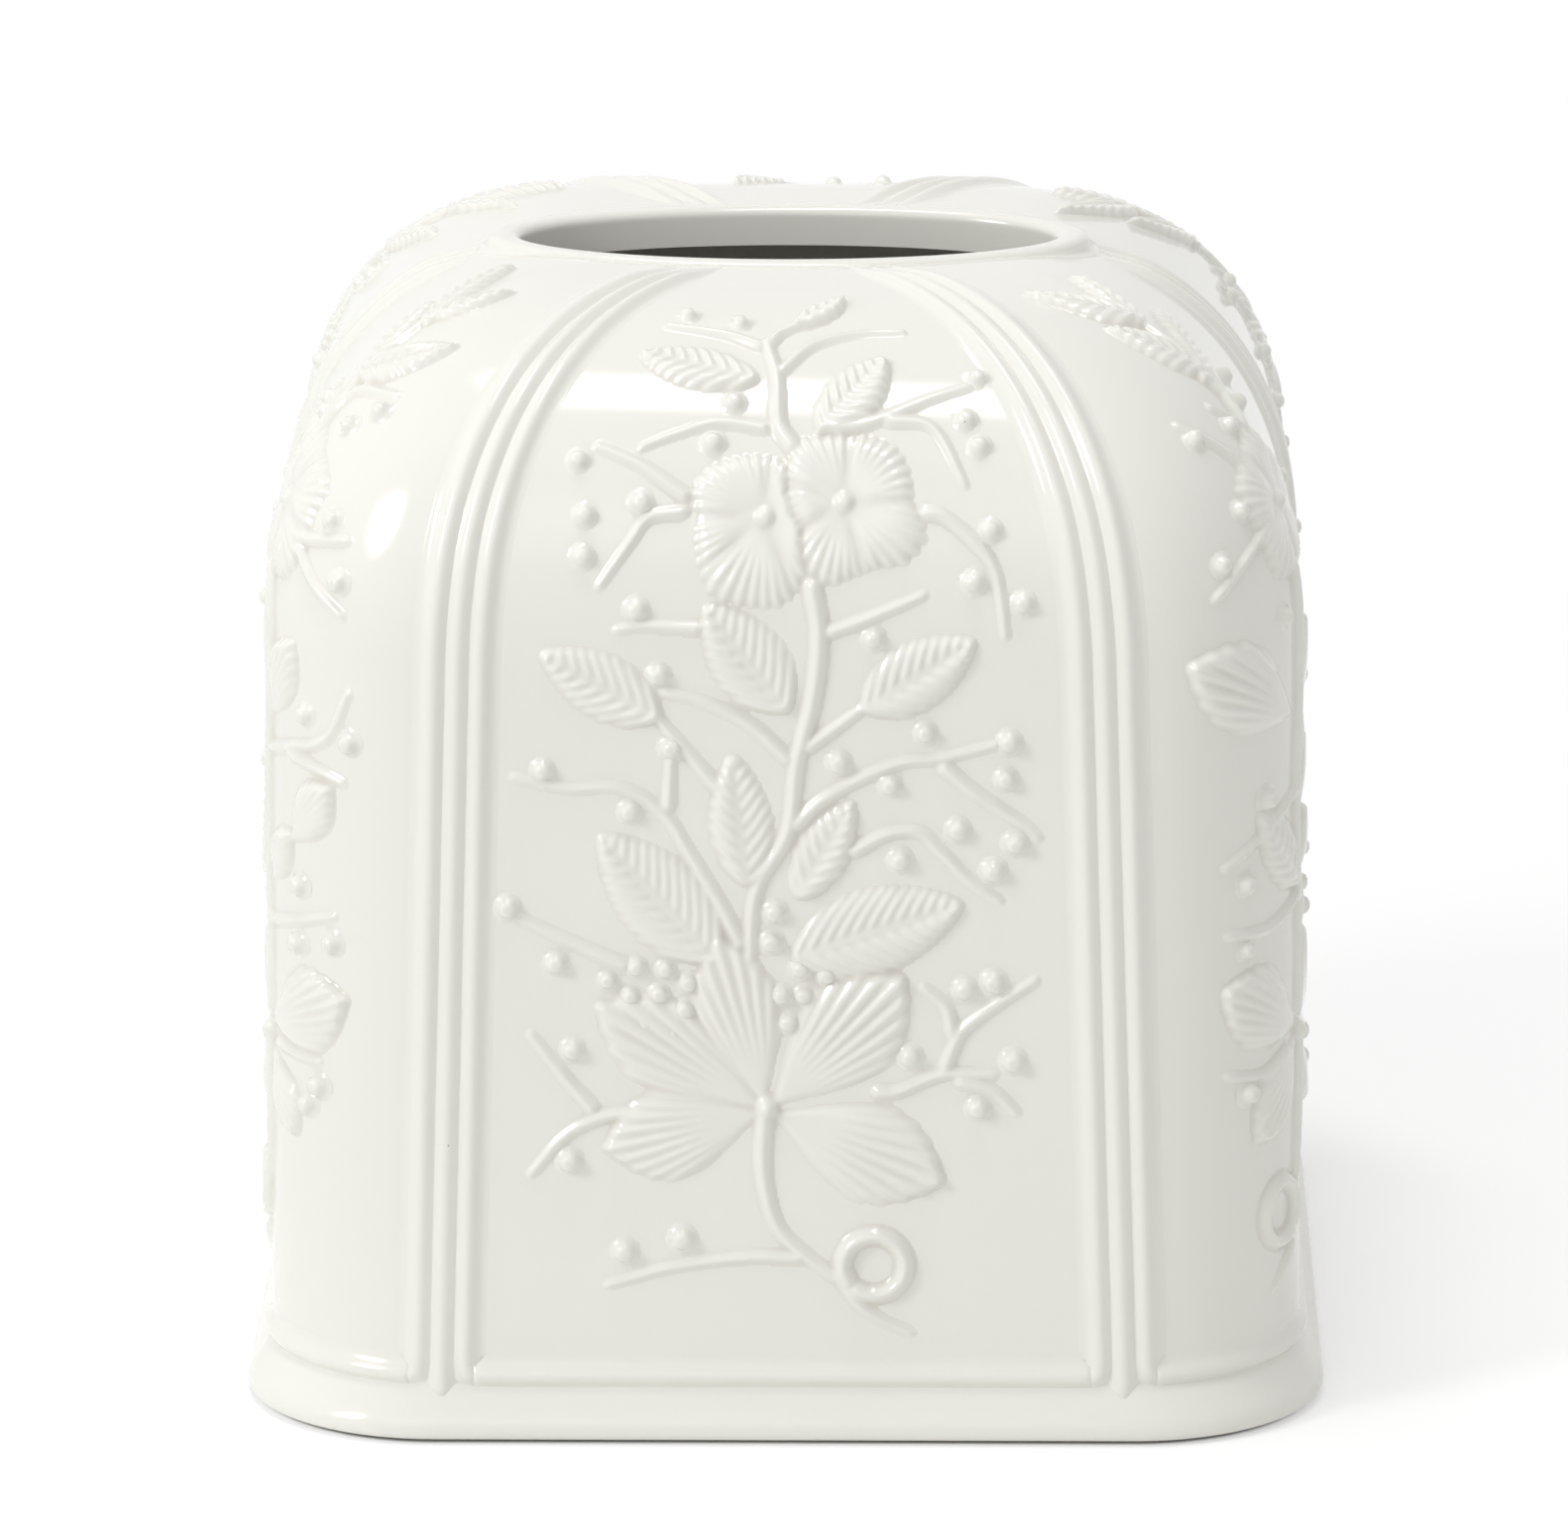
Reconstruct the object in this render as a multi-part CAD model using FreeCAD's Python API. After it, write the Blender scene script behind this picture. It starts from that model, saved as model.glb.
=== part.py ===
import FreeCAD, Part
import math
import os

# Glazed ceramic cover for a cube tissue box: a domed, hollow, open-bottomed shell on a flared foot,
# with an oval opening, six reeded ribs, sill beads and a flowering spray on each of its six panels.
# Millimetres, +Z up, origin at the middle of the resting plane, front panel towards -Y.

# Shell
wall_half = 69.2
wall_taper = 1.2
cover_height = 150.5
shoulder_rise = 44.0
shoulder_inset = 42.0
wall = 5.0
corner_share = 0.365
shoulder_power = 2.25
shoulder_steps = 10

# Foot band
foot_flare = 3.2
foot_height = 7.2
foot_round = 2.4
foot_corner_share = 0.352

# Opening and its rim
opening_half_length = 37.9
opening_half_width = 16.0
rim_width = 3.6
rim_rise = 0.5
rim_round = 1.3

# Ribs of three beads, and the sill beads of the panels
rib_half = 42.6
rib_spread = 2.6
bead_pitch = 3.1
bead_count = 3
bead_proud = 1.3
valley_share = 0.3
sill_level = 9.0
sill_half = 1.6
rib_steps = 18
sill_steps = 24

# Sprays
seat = 0.04
twig_half = 0.95
trunk_half = 1.5
tip_share = 0.62
stem_proud = 1.5
leaf_proud = 1.7
petal_proud = 2.0
petal_count = 5
petal_width_share = 0.46
boss_radius = 1.6
berry_radius = 1.75
berry_sink_share = 0.35
curl_radius = 3.9
curl_points = 11
curl_sweep = 330.0
corner_axis_share = 0.417

# Numeric helpers: an overrun for every cut, the step for surface slopes, the fineness of the profile
overrun = 1.0
probe = 0.05
profile_steps = 400

# Leaf and petal outlines: places along the midrib, and the width there
leaf_place_shares = (0.02, 0.3, 0.62, 0.97)
leaf_width_shares = (0.28, 1.0, 0.8, 0.12)
petal_place_shares = (0.22, 0.48, 0.78, 1.0)
petal_width_shares = (0.3, 0.7, 1.0, 0.55)

# Front spray. Points are (share of half the panel across, share of panel_rise up from the sill).
front_trunk_shares = (
    ((0.10, 0.656), (0.12, 0.616), (0.10, 0.565), (0.05, 0.512), (0.02, 0.455), (-0.08, 0.405),
     (-0.10, 0.36)),
    ((-0.05, 0.216), (-0.06, 0.176), (-0.02, 0.129), (0.07, 0.103), (0.16, 0.084)),
    ((0.04, 0.77), (-0.01, 0.79), (-0.02, 0.832), (-0.07, 0.874)),
)
front_twig_shares = (
    ((0.05, 0.100), (-0.12, 0.100), (-0.34, 0.092), (-0.54, 0.077)),
    ((0.00, 0.84), (0.14, 0.869), (0.35, 0.884), (0.57, 0.887)),
    ((-0.05, 0.884), (0.02, 0.893), (0.15, 0.902), (0.28, 0.930)),
    ((-0.10, 0.869), (-0.28, 0.884), (-0.56, 0.896)),
    ((0.20, 0.783), (0.33, 0.790), (0.57, 0.812), (0.74, 0.824)),
    ((0.40, 0.791), (0.55, 0.785), (0.62, 0.737)),
    ((-0.06, 0.785), (-0.23, 0.790), (-0.37, 0.780), (-0.49, 0.768)),
    ((-0.32, 0.728), (-0.48, 0.753), (-0.65, 0.769)),
    ((-0.32, 0.715), (-0.43, 0.710), (-0.48, 0.692), (-0.57, 0.656)),
    ((0.48, 0.714), (0.54, 0.710), (0.63, 0.689), (0.68, 0.667), (0.70, 0.616)),
    ((-0.26, 0.622), (-0.42, 0.624), (-0.51, 0.621)),
    ((0.16, 0.620), (0.26, 0.629), (0.45, 0.649)),
    ((-0.36, 0.570), (-0.24, 0.562), (-0.09, 0.543), (0.02, 0.516)),
    ((0.09, 0.526), (0.18, 0.543), (0.27, 0.560)),
    ((-0.39, 0.552), (-0.29, 0.521), (-0.20, 0.493)),
    ((-0.83, 0.500), (-0.67, 0.491), (-0.49, 0.491), (-0.36, 0.469), (-0.29, 0.440), (-0.19, 0.396),
     (-0.13, 0.364)),
    ((-0.34, 0.516), (-0.35, 0.478)),
    ((0.05, 0.462), (0.13, 0.482), (0.26, 0.501), (0.38, 0.513), (0.49, 0.516), (0.67, 0.527)),
    ((0.51, 0.508), (0.62, 0.485), (0.75, 0.463), (0.80, 0.451)),
    ((0.23, 0.440), (0.33, 0.454), (0.43, 0.455), (0.50, 0.438), (0.60, 0.412), (0.68, 0.399)),
    ((-0.82, 0.385), (-0.67, 0.366), (-0.49, 0.345)),
    ((0.30, 0.240), (0.36, 0.240), (0.50, 0.254), (0.66, 0.254)),
    ((0.51, 0.262), (0.56, 0.290), (0.66, 0.311), (0.79, 0.333)),
    ((0.53, 0.290), (0.51, 0.311), (0.44, 0.327)),
    ((0.56, 0.248), (0.65, 0.241), (0.73, 0.223)),
    ((-0.44, 0.224), (-0.57, 0.217), (-0.68, 0.201), (-0.78, 0.170)),
    ((-0.59, 0.226), (-0.68, 0.253), (-0.78, 0.287)),
    ((0.17, 0.078), (0.20, 0.060), (0.27, 0.048), (0.37, 0.042)),
)
front_curl_shares = (0.27, 0.100)
front_curl_turn = 215.0
# Each leaf: base, tip, half width as a share of its length
front_leaf_shares = (
    ((-0.14, 0.833), (-0.63, 0.863), 0.17),
    ((0.12, 0.803), (0.42, 0.854), 0.22),
    ((0.16, 0.908), (0.35, 0.949), 0.17),
    ((0.02, 0.556), (-0.23, 0.640), 0.25),
    ((0.28, 0.562), (0.59, 0.610), 0.24),
    ((-0.40, 0.553), (-0.72, 0.600), 0.22),
    ((-0.10, 0.412), (-0.15, 0.518), 0.20),
    ((0.05, 0.402), (0.22, 0.479), 0.20),
    ((-0.22, 0.353), (-0.55, 0.448), 0.23),
    ((0.06, 0.358), (0.55, 0.396), 0.23),
    ((-0.13, 0.229), (-0.55, 0.305), 0.26),
    ((-0.08, 0.238), (-0.20, 0.357), 0.21),
    ((0.01, 0.234), (0.37, 0.327), 0.25),
    ((0.02, 0.214), (0.48, 0.168), 0.25),
    ((-0.13, 0.216), (-0.53, 0.195), 0.27),
)
# Each flower: centre, reach of its petals as a share of half the panel
front_flower_shares = (
    ((-0.11, 0.706), 0.19),
    ((0.24, 0.722), 0.21),
)
front_berry_shares = (
    (-0.31, 0.116), (-0.49, 0.105), (-0.49, 0.910), (-0.21, 0.898), (-0.18, 0.808), (0.79, 0.832),
    (0.68, 0.792), (0.70, 0.769), (-0.70, 0.757), (-0.24, 0.772), (-0.64, 0.712), (-0.46, 0.722),
    (-0.63, 0.679), (0.68, 0.700), (0.61, 0.659), (0.76, 0.642), (-0.45, 0.637), (0.29, 0.614),
    (-0.38, 0.584), (-0.74, 0.506), (-0.47, 0.472), (-0.34, 0.524), (0.45, 0.537), (0.71, 0.529),
    (0.18, 0.512), (0.34, 0.494), (0.70, 0.499), (0.73, 0.446), (0.55, 0.457), (0.66, 0.423),
    (0.37, 0.432), (-0.70, 0.346), (-0.85, 0.392), (-0.02, 0.389), (-0.03, 0.364), (-0.54, 0.332),
    (-0.45, 0.343), (-0.36, 0.341), (-0.29, 0.330), (-0.47, 0.319), (-0.38, 0.321), (-0.30, 0.308),
    (-0.42, 0.298), (-0.34, 0.287), (0.00, 0.320), (0.06, 0.342), (0.14, 0.337), (0.07, 0.320),
    (0.02, 0.297), (0.72, 0.265), (0.66, 0.331), (0.57, 0.325), (0.40, 0.269), (0.61, 0.226),
    (-0.66, 0.181), (-0.65, 0.274),
)

# Corner spray, the same way round on every corner: the sides of its stem differ, left ones first
corner_trunk_shares = (
    ((0.0, 0.665), (0.0, 0.58), (0.0, 0.48), (0.0, 0.38)),
    ((0.0, 0.25), (0.0, 0.2), (-0.02, 0.15), (-0.06, 0.118)),
    ((0.0, 0.775), (0.0, 0.82), (0.0, 0.87)),
)
corner_twig_shares = (
    ((-0.16, 0.735), (-0.24, 0.755), (-0.34, 0.768), (-0.46, 0.778)),
    ((-0.05, 0.778), (-0.16, 0.79), (-0.3, 0.797)),
    ((-0.15, 0.69), (-0.29, 0.668), (-0.45, 0.632)),
    ((-0.05, 0.462), (-0.16, 0.45), (-0.28, 0.435), (-0.43, 0.417)),
    ((-0.05, 0.372), (-0.23, 0.358), (-0.42, 0.36)),
    ((-0.16, 0.245), (-0.27, 0.237), (-0.42, 0.243)),
    ((0.05, 0.782), (0.16, 0.795), (0.36, 0.798)),
    ((0.20, 0.684), (0.32, 0.681), (0.45, 0.682)),
    ((0.22, 0.668), (0.33, 0.645), (0.45, 0.622)),
    ((0.05, 0.496), (0.20, 0.506), (0.38, 0.521), (0.47, 0.562)),
    ((0.24, 0.497), (0.35, 0.494), (0.45, 0.487)),
    ((0.05, 0.352), (0.19, 0.360), (0.41, 0.375)),
    ((0.13, 0.250), (0.24, 0.250), (0.34, 0.250)),
    ((-0.08, 0.083), (-0.12, 0.07), (-0.2, 0.052)),
)
corner_curl_shares = (-0.16, 0.115)
corner_curl_turn = -35.0
corner_leaf_shares = (
    ((-0.06, 0.832), (-0.62, 0.846), 0.17),
    ((-0.05, 0.875), (-0.5, 0.925), 0.17),
    ((-0.05, 0.525), (-0.56, 0.582), 0.29),
    ((-0.05, 0.388), (-0.27, 0.452), 0.24),
    ((-0.06, 0.264), (-0.42, 0.312), 0.27),
    ((-0.06, 0.255), (-0.27, 0.185), 0.26),
    ((0.06, 0.832), (0.62, 0.846), 0.17),
    ((0.05, 0.875), (0.5, 0.925), 0.17),
    ((0.05, 0.525), (0.2, 0.59), 0.27),
    ((0.2, 0.428), (0.39, 0.478), 0.27),
    ((0.05, 0.388), (0.18, 0.432), 0.27),
    ((0.06, 0.268), (0.44, 0.307), 0.27),
    ((0.06, 0.24), (0.22, 0.185), 0.26),
)
corner_flower_shares = (
    ((0.0, 0.72), 0.23),
)
corner_berry_shares = (
    (-0.36, 0.755), (-0.2, 0.802), (-0.32, 0.705), (-0.42, 0.658), (-0.24, 0.466), (-0.34, 0.400),
    (-0.34, 0.345), (-0.33, 0.225), (-0.12, 0.61), (0.34, 0.778), (0.25, 0.760), (0.38, 0.702),
    (0.44, 0.652), (0.28, 0.536), (0.47, 0.521), (0.25, 0.393), (0.24, 0.344), (0.40, 0.352),
    (0.34, 0.230), (0.29, 0.212),
)

base_half = wall_half + wall_taper
foot_half = base_half + foot_flare
spring = cover_height - shoulder_rise
straight_share = 1.0 - corner_share
quarter_share = corner_share * math.pi / 2.0
midside = wall_half * (2.0 * straight_share + quarter_share)
corner_axis = rib_half + corner_axis_share * (midside - rib_half)
corner_breadth = (midside - rib_half) / 2.0
rib_reach = bead_count * bead_pitch / 2.0
rim_length = opening_half_length + rim_width
rim_breadth = opening_half_width + rim_width


# Profile: half width and height of the outside at each length up from the base
def build_profile():
    rows = [(0.0, base_half, 0.0)]
    length = math.hypot(base_half - wall_half, spring)
    rows.append((length, wall_half, spring))
    for step in range(1, profile_steps + 1):
        half, level = shoulder_point(step / profile_steps, wall_half, spring, shoulder_inset, shoulder_rise)
        length += math.hypot(half - rows[-1][1], level - rows[-1][2])
        rows.append((length, half, level))
    crown_end = length
    rows.append((length + rows[-1][1], 0.0, cover_height))
    return rows, crown_end


def shoulder_point(turn_share, half, foot, inset, rise):
    turn = turn_share * math.pi / 2.0
    power = 2.0 / shoulder_power
    inward = max(math.cos(turn), 0.0) ** power
    return half - inset + inset * inward, foot + rise * math.sin(turn) ** power


profile_rows, crown_end = build_profile()
panel_rise = crown_end - sill_level


def profile_at(up):
    for low, high in zip(profile_rows, profile_rows[1:]):
        if up <= high[0]:
            break
    part = (up - low[0]) / (high[0] - low[0])
    return low[1] + part * (high[1] - low[1]), low[2] + part * (high[2] - low[2])


def length_at_half(half):
    for low, high in zip(profile_rows, profile_rows[1:]):
        if half >= high[1]:
            return low[0] + (low[1] - half) / (low[1] - high[1]) * (high[0] - low[0])


# Plan: a point of the rounded square of half width 1, at a length round it from the middle of the front
def plan_at(along):
    side = 1.0 if along >= 0.0 else -1.0
    along = abs(along)
    if along <= straight_share:
        return side * along, -1.0
    if along <= straight_share + quarter_share:
        turn = (along - straight_share) / corner_share
        x = straight_share + corner_share * math.sin(turn)
        return side * x, -straight_share - corner_share * math.cos(turn)
    return side, along - quarter_share - 2.0 * straight_share


def on_shell(across, up):
    half, level = profile_at(up)
    x, y = plan_at(across / wall_half)
    return FreeCAD.Vector(half * x, half * y, level)


# Frame on the outside: the point, the way across, the way up, the way out, and the narrowing of the plan
def shell_frame(across, up):
    here = on_shell(across, up)
    right = on_shell(across + probe, up) - on_shell(across - probe, up)
    rise = on_shell(across, up + probe) - on_shell(across, up - probe)
    narrow = right.Length / (probe + probe)
    right.normalize()
    rise.normalize()
    out = right.cross(rise)
    out.normalize()
    return here, right, out.cross(right), out, narrow


# Cross-section square to a line on the shell: its foot follows the shell, its top is made of beads
def section(across, up, heading, half, proud, beads=1):
    here, right, rise, out, narrow = shell_frame(across, up)
    side = right * math.sin(heading) - rise * math.cos(heading)

    def foot(offset):
        there = on_shell(across + offset * math.sin(heading) / narrow, up - offset * math.cos(heading))
        return here + side * offset + out * ((there - here).dot(out) + seat)

    marks = [half * (2.0 * i / beads - 1.0) for i in range(beads + 1)]
    ends = [foot(mark) for mark in marks]
    for i in range(1, beads):
        ends[i] += out * (proud * valley_share)
    sole = Part.BSplineCurve()
    sole.interpolate([foot(half), foot(0.0), foot(-half)])
    edges = [sole.toShape()]
    for i in range(beads):
        top = foot((marks[i] + marks[i + 1]) / 2.0) + out * proud
        edges.append(Part.Arc(ends[i], top, ends[i + 1]).toShape())
    return Part.Wire(edges)


def heading_of(start, end):
    half, level = profile_at((start[1] + end[1]) / 2.0)
    return math.atan2(end[1] - start[1], (end[0] - start[0]) * half / wall_half)


# A ridge along points on the shell, tapering from its first point to its last
def ridge(points, half, proud, end_share=1.0, beads=1, headings=None):
    wires = []
    last = len(points) - 1
    for i, (across, up) in enumerate(points):
        heading = headings or heading_of(points[max(i - 1, 0)], points[min(i + 1, last)])
        taper = 1.0 + (end_share - 1.0) * i / last
        wires.append(section(across, up, heading, half * taper, proud * taper, beads))
    return Part.makeLoft(wires, True, False)


# A leaf or petal: sections along a straight midrib, wide or narrow by the outline's shares
def blade(base, tip, half, proud, place_shares, width_shares):
    heading = heading_of(base, tip)
    wires = []
    for place, width in zip(place_shares, width_shares):
        across = base[0] + (tip[0] - base[0]) * place
        up = base[1] + (tip[1] - base[1]) * place
        wires.append(section(across, up, heading, half * width, proud * math.sqrt(width)))
    return Part.makeLoft(wires, True, False)


def ball(across, up, radius):
    here, right, rise, out, narrow = shell_frame(across, up)
    sink = math.degrees(math.asin(berry_sink_share))
    centre = here + out * (radius * berry_sink_share + seat)
    return Part.makeSphere(radius, centre, out, -sink, 90.0)


# Places of a spray on the shell, across and up. A panel is its axis and the breadth of half of it.
def place(shares, panel):
    axis, breadth = panel
    return axis + shares[0] * breadth, sill_level + shares[1] * panel_rise


def span(base, tip):
    half, level = profile_at((base[1] + tip[1]) / 2.0)
    return math.hypot((tip[0] - base[0]) * half / wall_half, tip[1] - base[1])


def make_stems(trunks, twigs, panel):
    stems = [ridge([place(p, panel) for p in line], trunk_half, stem_proud, tip_share) for line in trunks]
    for line in twigs:
        stems.append(ridge([place(p, panel) for p in line], twig_half, stem_proud, tip_share))
    return stems


def make_curl(centre_shares, first_turn, sweep, panel):
    centre = place(centre_shares, panel)
    points = []
    for i in range(curl_points):
        turn = math.radians(first_turn + sweep * i / (curl_points - 1))
        points.append((centre[0] + curl_radius * math.cos(turn), centre[1] + curl_radius * math.sin(turn)))
    return ridge(points, twig_half, stem_proud)


def make_leaves(leaves, panel):
    blades = []
    for base, tip, width_share in leaves:
        start, end = place(base, panel), place(tip, panel)
        half = width_share * span(start, end)
        blades.append(blade(start, end, half, leaf_proud, leaf_place_shares, leaf_width_shares))
    return blades


def make_flowers(flowers, panel):
    petals = []
    for centre_shares, reach_share in flowers:
        across, up = place(centre_shares, panel)
        narrow = profile_at(up)[0] / wall_half
        reach = reach_share * panel[1]
        half = petal_width_share * reach
        for i in range(petal_count):
            turn = math.pi * (0.5 + 2.0 * i / petal_count)
            tip = (across + reach * math.cos(turn) / narrow, up + reach * math.sin(turn))
            petal = blade((across, up), tip, half, petal_proud, petal_place_shares, petal_width_shares)
            petals.append(petal)
        petals.append(ball(across, up, boss_radius))
    return petals


def make_berries(berries, panel):
    return [ball(*place(p, panel), berry_radius) for p in berries]


# Rounded square outline at one height
def outline(half, level, share):
    corner = half * share
    flat = half - corner
    edges = []
    for i in range(4):
        turn = FreeCAD.Rotation(FreeCAD.Vector(0.0, 0.0, 1.0), 90.0 * i)
        lift = FreeCAD.Vector(0.0, 0.0, level)
        middle = corner * math.sqrt(0.5)
        a = FreeCAD.Vector(-flat, -half, 0.0)
        b = FreeCAD.Vector(flat, -half, 0.0)
        c = FreeCAD.Vector(flat + middle, -flat - middle, 0.0)
        d = FreeCAD.Vector(half, -flat, 0.0)
        a, b, c, d = [turn.multVec(p) + lift for p in (a, b, c, d)]
        edges.append(Part.LineSegment(a, b).toShape())
        edges.append(Part.Arc(b, c, d).toShape())
    return Part.Wire(edges)


# Domed form: straight walls to the spring, then a rounded shoulder to the flat crown
def domed_form(base, half, foot, inset, rise):
    walls = Part.makeLoft([outline(base, 0.0, corner_share), outline(half, foot, corner_share)], True, True)
    wires = []
    for step in range(shoulder_steps + 1):
        width, level = shoulder_point(step / shoulder_steps, half, foot, inset, rise)
        wires.append(outline(width, level, corner_share))
    return walls.fuse(Part.makeLoft(wires, True, False))


def oval_prism(length, breadth, low, high):
    oval = Part.Ellipse(FreeCAD.Vector(0.0, 0.0, low), length, breadth)
    return Part.Face(Part.Wire(oval.toShape())).extrude(FreeCAD.Vector(0.0, 0.0, high - low))


def make_shell():
    inset = shoulder_inset - wall
    inside = domed_form(base_half - wall, wall_half - wall, spring, inset, shoulder_rise - wall)
    floor = Part.Face(outline(base_half - wall, -overrun, corner_share))
    inside = inside.fuse(floor.extrude(FreeCAD.Vector(0.0, 0.0, overrun)))
    hole = oval_prism(rim_length, rim_breadth, spring, cover_height + overrun)
    return solid_form.cut(inside).cut(hole)


def make_foot():
    band = Part.Face(outline(foot_half, 0.0, foot_corner_share))
    band = band.extrude(FreeCAD.Vector(0.0, 0.0, foot_height))
    rims = [e for e in band.Edges if abs(e.BoundBox.ZLength) < probe]
    return band.makeFillet(foot_round, rims).cut(solid_form)


# The rim fills the shell's hole: its top edges are rounded, and its underside is flush with the inside
def make_rim():
    top = cover_height + rim_rise
    ring = oval_prism(rim_length, rim_breadth, cover_height - wall, top)
    ring = ring.cut(oval_prism(opening_half_length, opening_half_width, spring, top + overrun))
    rims = [e for e in ring.Edges if e.BoundBox.ZMin > top - probe and e.BoundBox.ZLength < probe]
    return ring.makeFillet(rim_round, rims)


# A rib of three beads up one line of the shell, from the foot band to the rim
def make_rib(foot_across, head_across):
    x, y = plan_at(head_across / wall_half)
    reach = 1.0 / math.hypot(x / rim_length, y / rim_breadth)
    top = length_at_half(reach - rim_width)
    foot = foot_height + seat
    points = []
    for i in range(rib_steps + 1):
        up = foot + (top - foot) * i / rib_steps
        points.append((head_across + (foot_across - head_across) * max(1.0 - up / spring, 0.0), up))
    rib = ridge(points, rib_reach, bead_proud, beads=bead_count, headings=math.pi / 2.0)
    return rib.cut(oval_prism(rim_length, rim_breadth, spring, cover_height + rim_width))


def make_sill(start, end, count):
    points = [(start + (end - start) * i / count, sill_level) for i in range(count + 1)]
    return ridge(points, sill_half, bead_proud, headings=math.pi)


def turned(shape):
    copy = shape.copy()
    copy.rotate(FreeCAD.Vector(0.0, 0.0, 0.0), FreeCAD.Vector(0.0, 0.0, 1.0), 180.0)
    return copy


def reflected(shape):
    return shape.mirror(FreeCAD.Vector(0.0, 0.0, 0.0), FreeCAD.Vector(1.0, 0.0, 0.0))


def save(name, shape):
    shape.exportStep("parts/" + name + ".step")
    print(name, len(shape.Solids), shape.isValid(), round(shape.Volume))


os.makedirs("parts", exist_ok=True)
solid_form = domed_form(base_half, wall_half, spring, shoulder_inset, shoulder_rise)
save("cover_shell", make_shell())
save("foot_band", make_foot())
save("opening_rim", make_rim())

rib = make_rib(rib_half + rib_spread, rib_half)
save("front_right_rib", rib)
save("front_left_rib", reflected(rib))
save("back_left_rib", turned(rib))
save("back_right_rib", turned(reflected(rib)))
side_rib = make_rib(midside, midside)
save("right_side_rib", side_rib)
save("left_side_rib", turned(side_rib))

face_sill_end = rib_half + rib_spread - rib_reach - seat
sill = make_sill(-face_sill_end, face_sill_end, sill_steps)
save("front_sill", sill)
save("back_sill", turned(sill))
corner_sill_start = rib_half + rib_spread + rib_reach + seat
corner_sill = make_sill(corner_sill_start, midside - rib_reach - seat, sill_steps)
save("front_right_sill", corner_sill)
save("front_left_sill", reflected(corner_sill))
save("back_left_sill", turned(corner_sill))
save("back_right_sill", turned(reflected(corner_sill)))

front_panel = (0.0, rib_half)
front_stems = make_stems(front_trunk_shares, front_twig_shares, front_panel)
front_stems.append(make_curl(front_curl_shares, front_curl_turn, -curl_sweep, front_panel))
front = {
    "stems": front_stems,
    "leaves": make_leaves(front_leaf_shares, front_panel),
    "flowers": make_flowers(front_flower_shares, front_panel),
    "berries": make_berries(front_berry_shares, front_panel),
}


def corner_spray(panel):
    stems = make_stems(corner_trunk_shares, corner_twig_shares, panel)
    stems.append(make_curl(corner_curl_shares, corner_curl_turn, curl_sweep, panel))
    return {
        "stems": stems,
        "leaves": make_leaves(corner_leaf_shares, panel),
        "flowers": make_flowers(corner_flower_shares, panel),
        "berries": make_berries(corner_berry_shares, panel),
    }


for kind, shapes in front.items():
    group = Part.makeCompound(shapes)
    save("front_" + kind, group)
    save("back_" + kind, turned(group))
for side, opposite, axis in (("right", "left", corner_axis), ("left", "right", -corner_axis)):
    for kind, shapes in corner_spray((axis, corner_breadth)).items():
        group = Part.makeCompound(shapes)
        save("front_" + side + "_" + kind, group)
        save("back_" + opposite + "_" + kind, turned(group))
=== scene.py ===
import bpy
import bmesh
import math
import numpy as np
from mathutils import Matrix, Vector


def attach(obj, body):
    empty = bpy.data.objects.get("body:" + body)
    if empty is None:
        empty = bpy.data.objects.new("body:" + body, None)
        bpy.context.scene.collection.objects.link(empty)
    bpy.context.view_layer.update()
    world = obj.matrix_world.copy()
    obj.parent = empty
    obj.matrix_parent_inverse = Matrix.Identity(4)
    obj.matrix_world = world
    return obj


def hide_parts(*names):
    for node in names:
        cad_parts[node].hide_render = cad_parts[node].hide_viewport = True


# Glazed ceramic cover for a cube tissue box. Lengths in the dictionaries are millimetres, apart from those
# of the floor and the lamps, which are metres as in the scene.

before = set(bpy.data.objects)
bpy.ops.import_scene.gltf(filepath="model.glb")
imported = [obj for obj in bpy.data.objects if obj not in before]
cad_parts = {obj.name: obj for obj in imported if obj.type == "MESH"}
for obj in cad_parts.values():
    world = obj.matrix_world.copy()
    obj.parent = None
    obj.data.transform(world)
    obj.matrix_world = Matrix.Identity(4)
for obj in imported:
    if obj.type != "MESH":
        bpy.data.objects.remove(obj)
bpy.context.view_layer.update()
scene = bpy.context.scene
mm = 0.001
print("frame loaded:", len(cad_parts), "nodes")


def linear(hexColour):
    parts = [int(hexColour[i:i + 2], 16) / 255 for i in (0, 2, 4)]
    return [c / 12.92 if c <= 0.04045 else ((c + 0.055) / 1.055) ** 2.4 for c in parts] + [1.0]


# A link is a socket, a node that stands for its first output, or a plain value
def addNode(tree, kind, links=None, **settings):
    node = tree.nodes.new(kind)
    for name, value in settings.items():
        setattr(node, name, value)
    for socket, source in (links or {}).items():
        if isinstance(source, bpy.types.Node):
            source = source.outputs[0]
        if isinstance(source, bpy.types.NodeSocket):
            tree.links.new(source, node.inputs[socket])
        else:
            node.inputs[socket].default_value = source
    return node


glaze = {"tone": "EFEEE7", "pooledAndShaded": "DAD6CC", "speck": "8C8272", "roughness": 0.055, "ior": 1.52,
         "mottleSize": 38.0, "mottleShare": 0.16, "rippleSize": 11.0, "rippleDepth": 0.012, "rippleStrength": 0.6,
         "speckGap": 17.0, "speckSize": 0.16, "speckCore": 0.5, "speckShow": 0.75}
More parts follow.
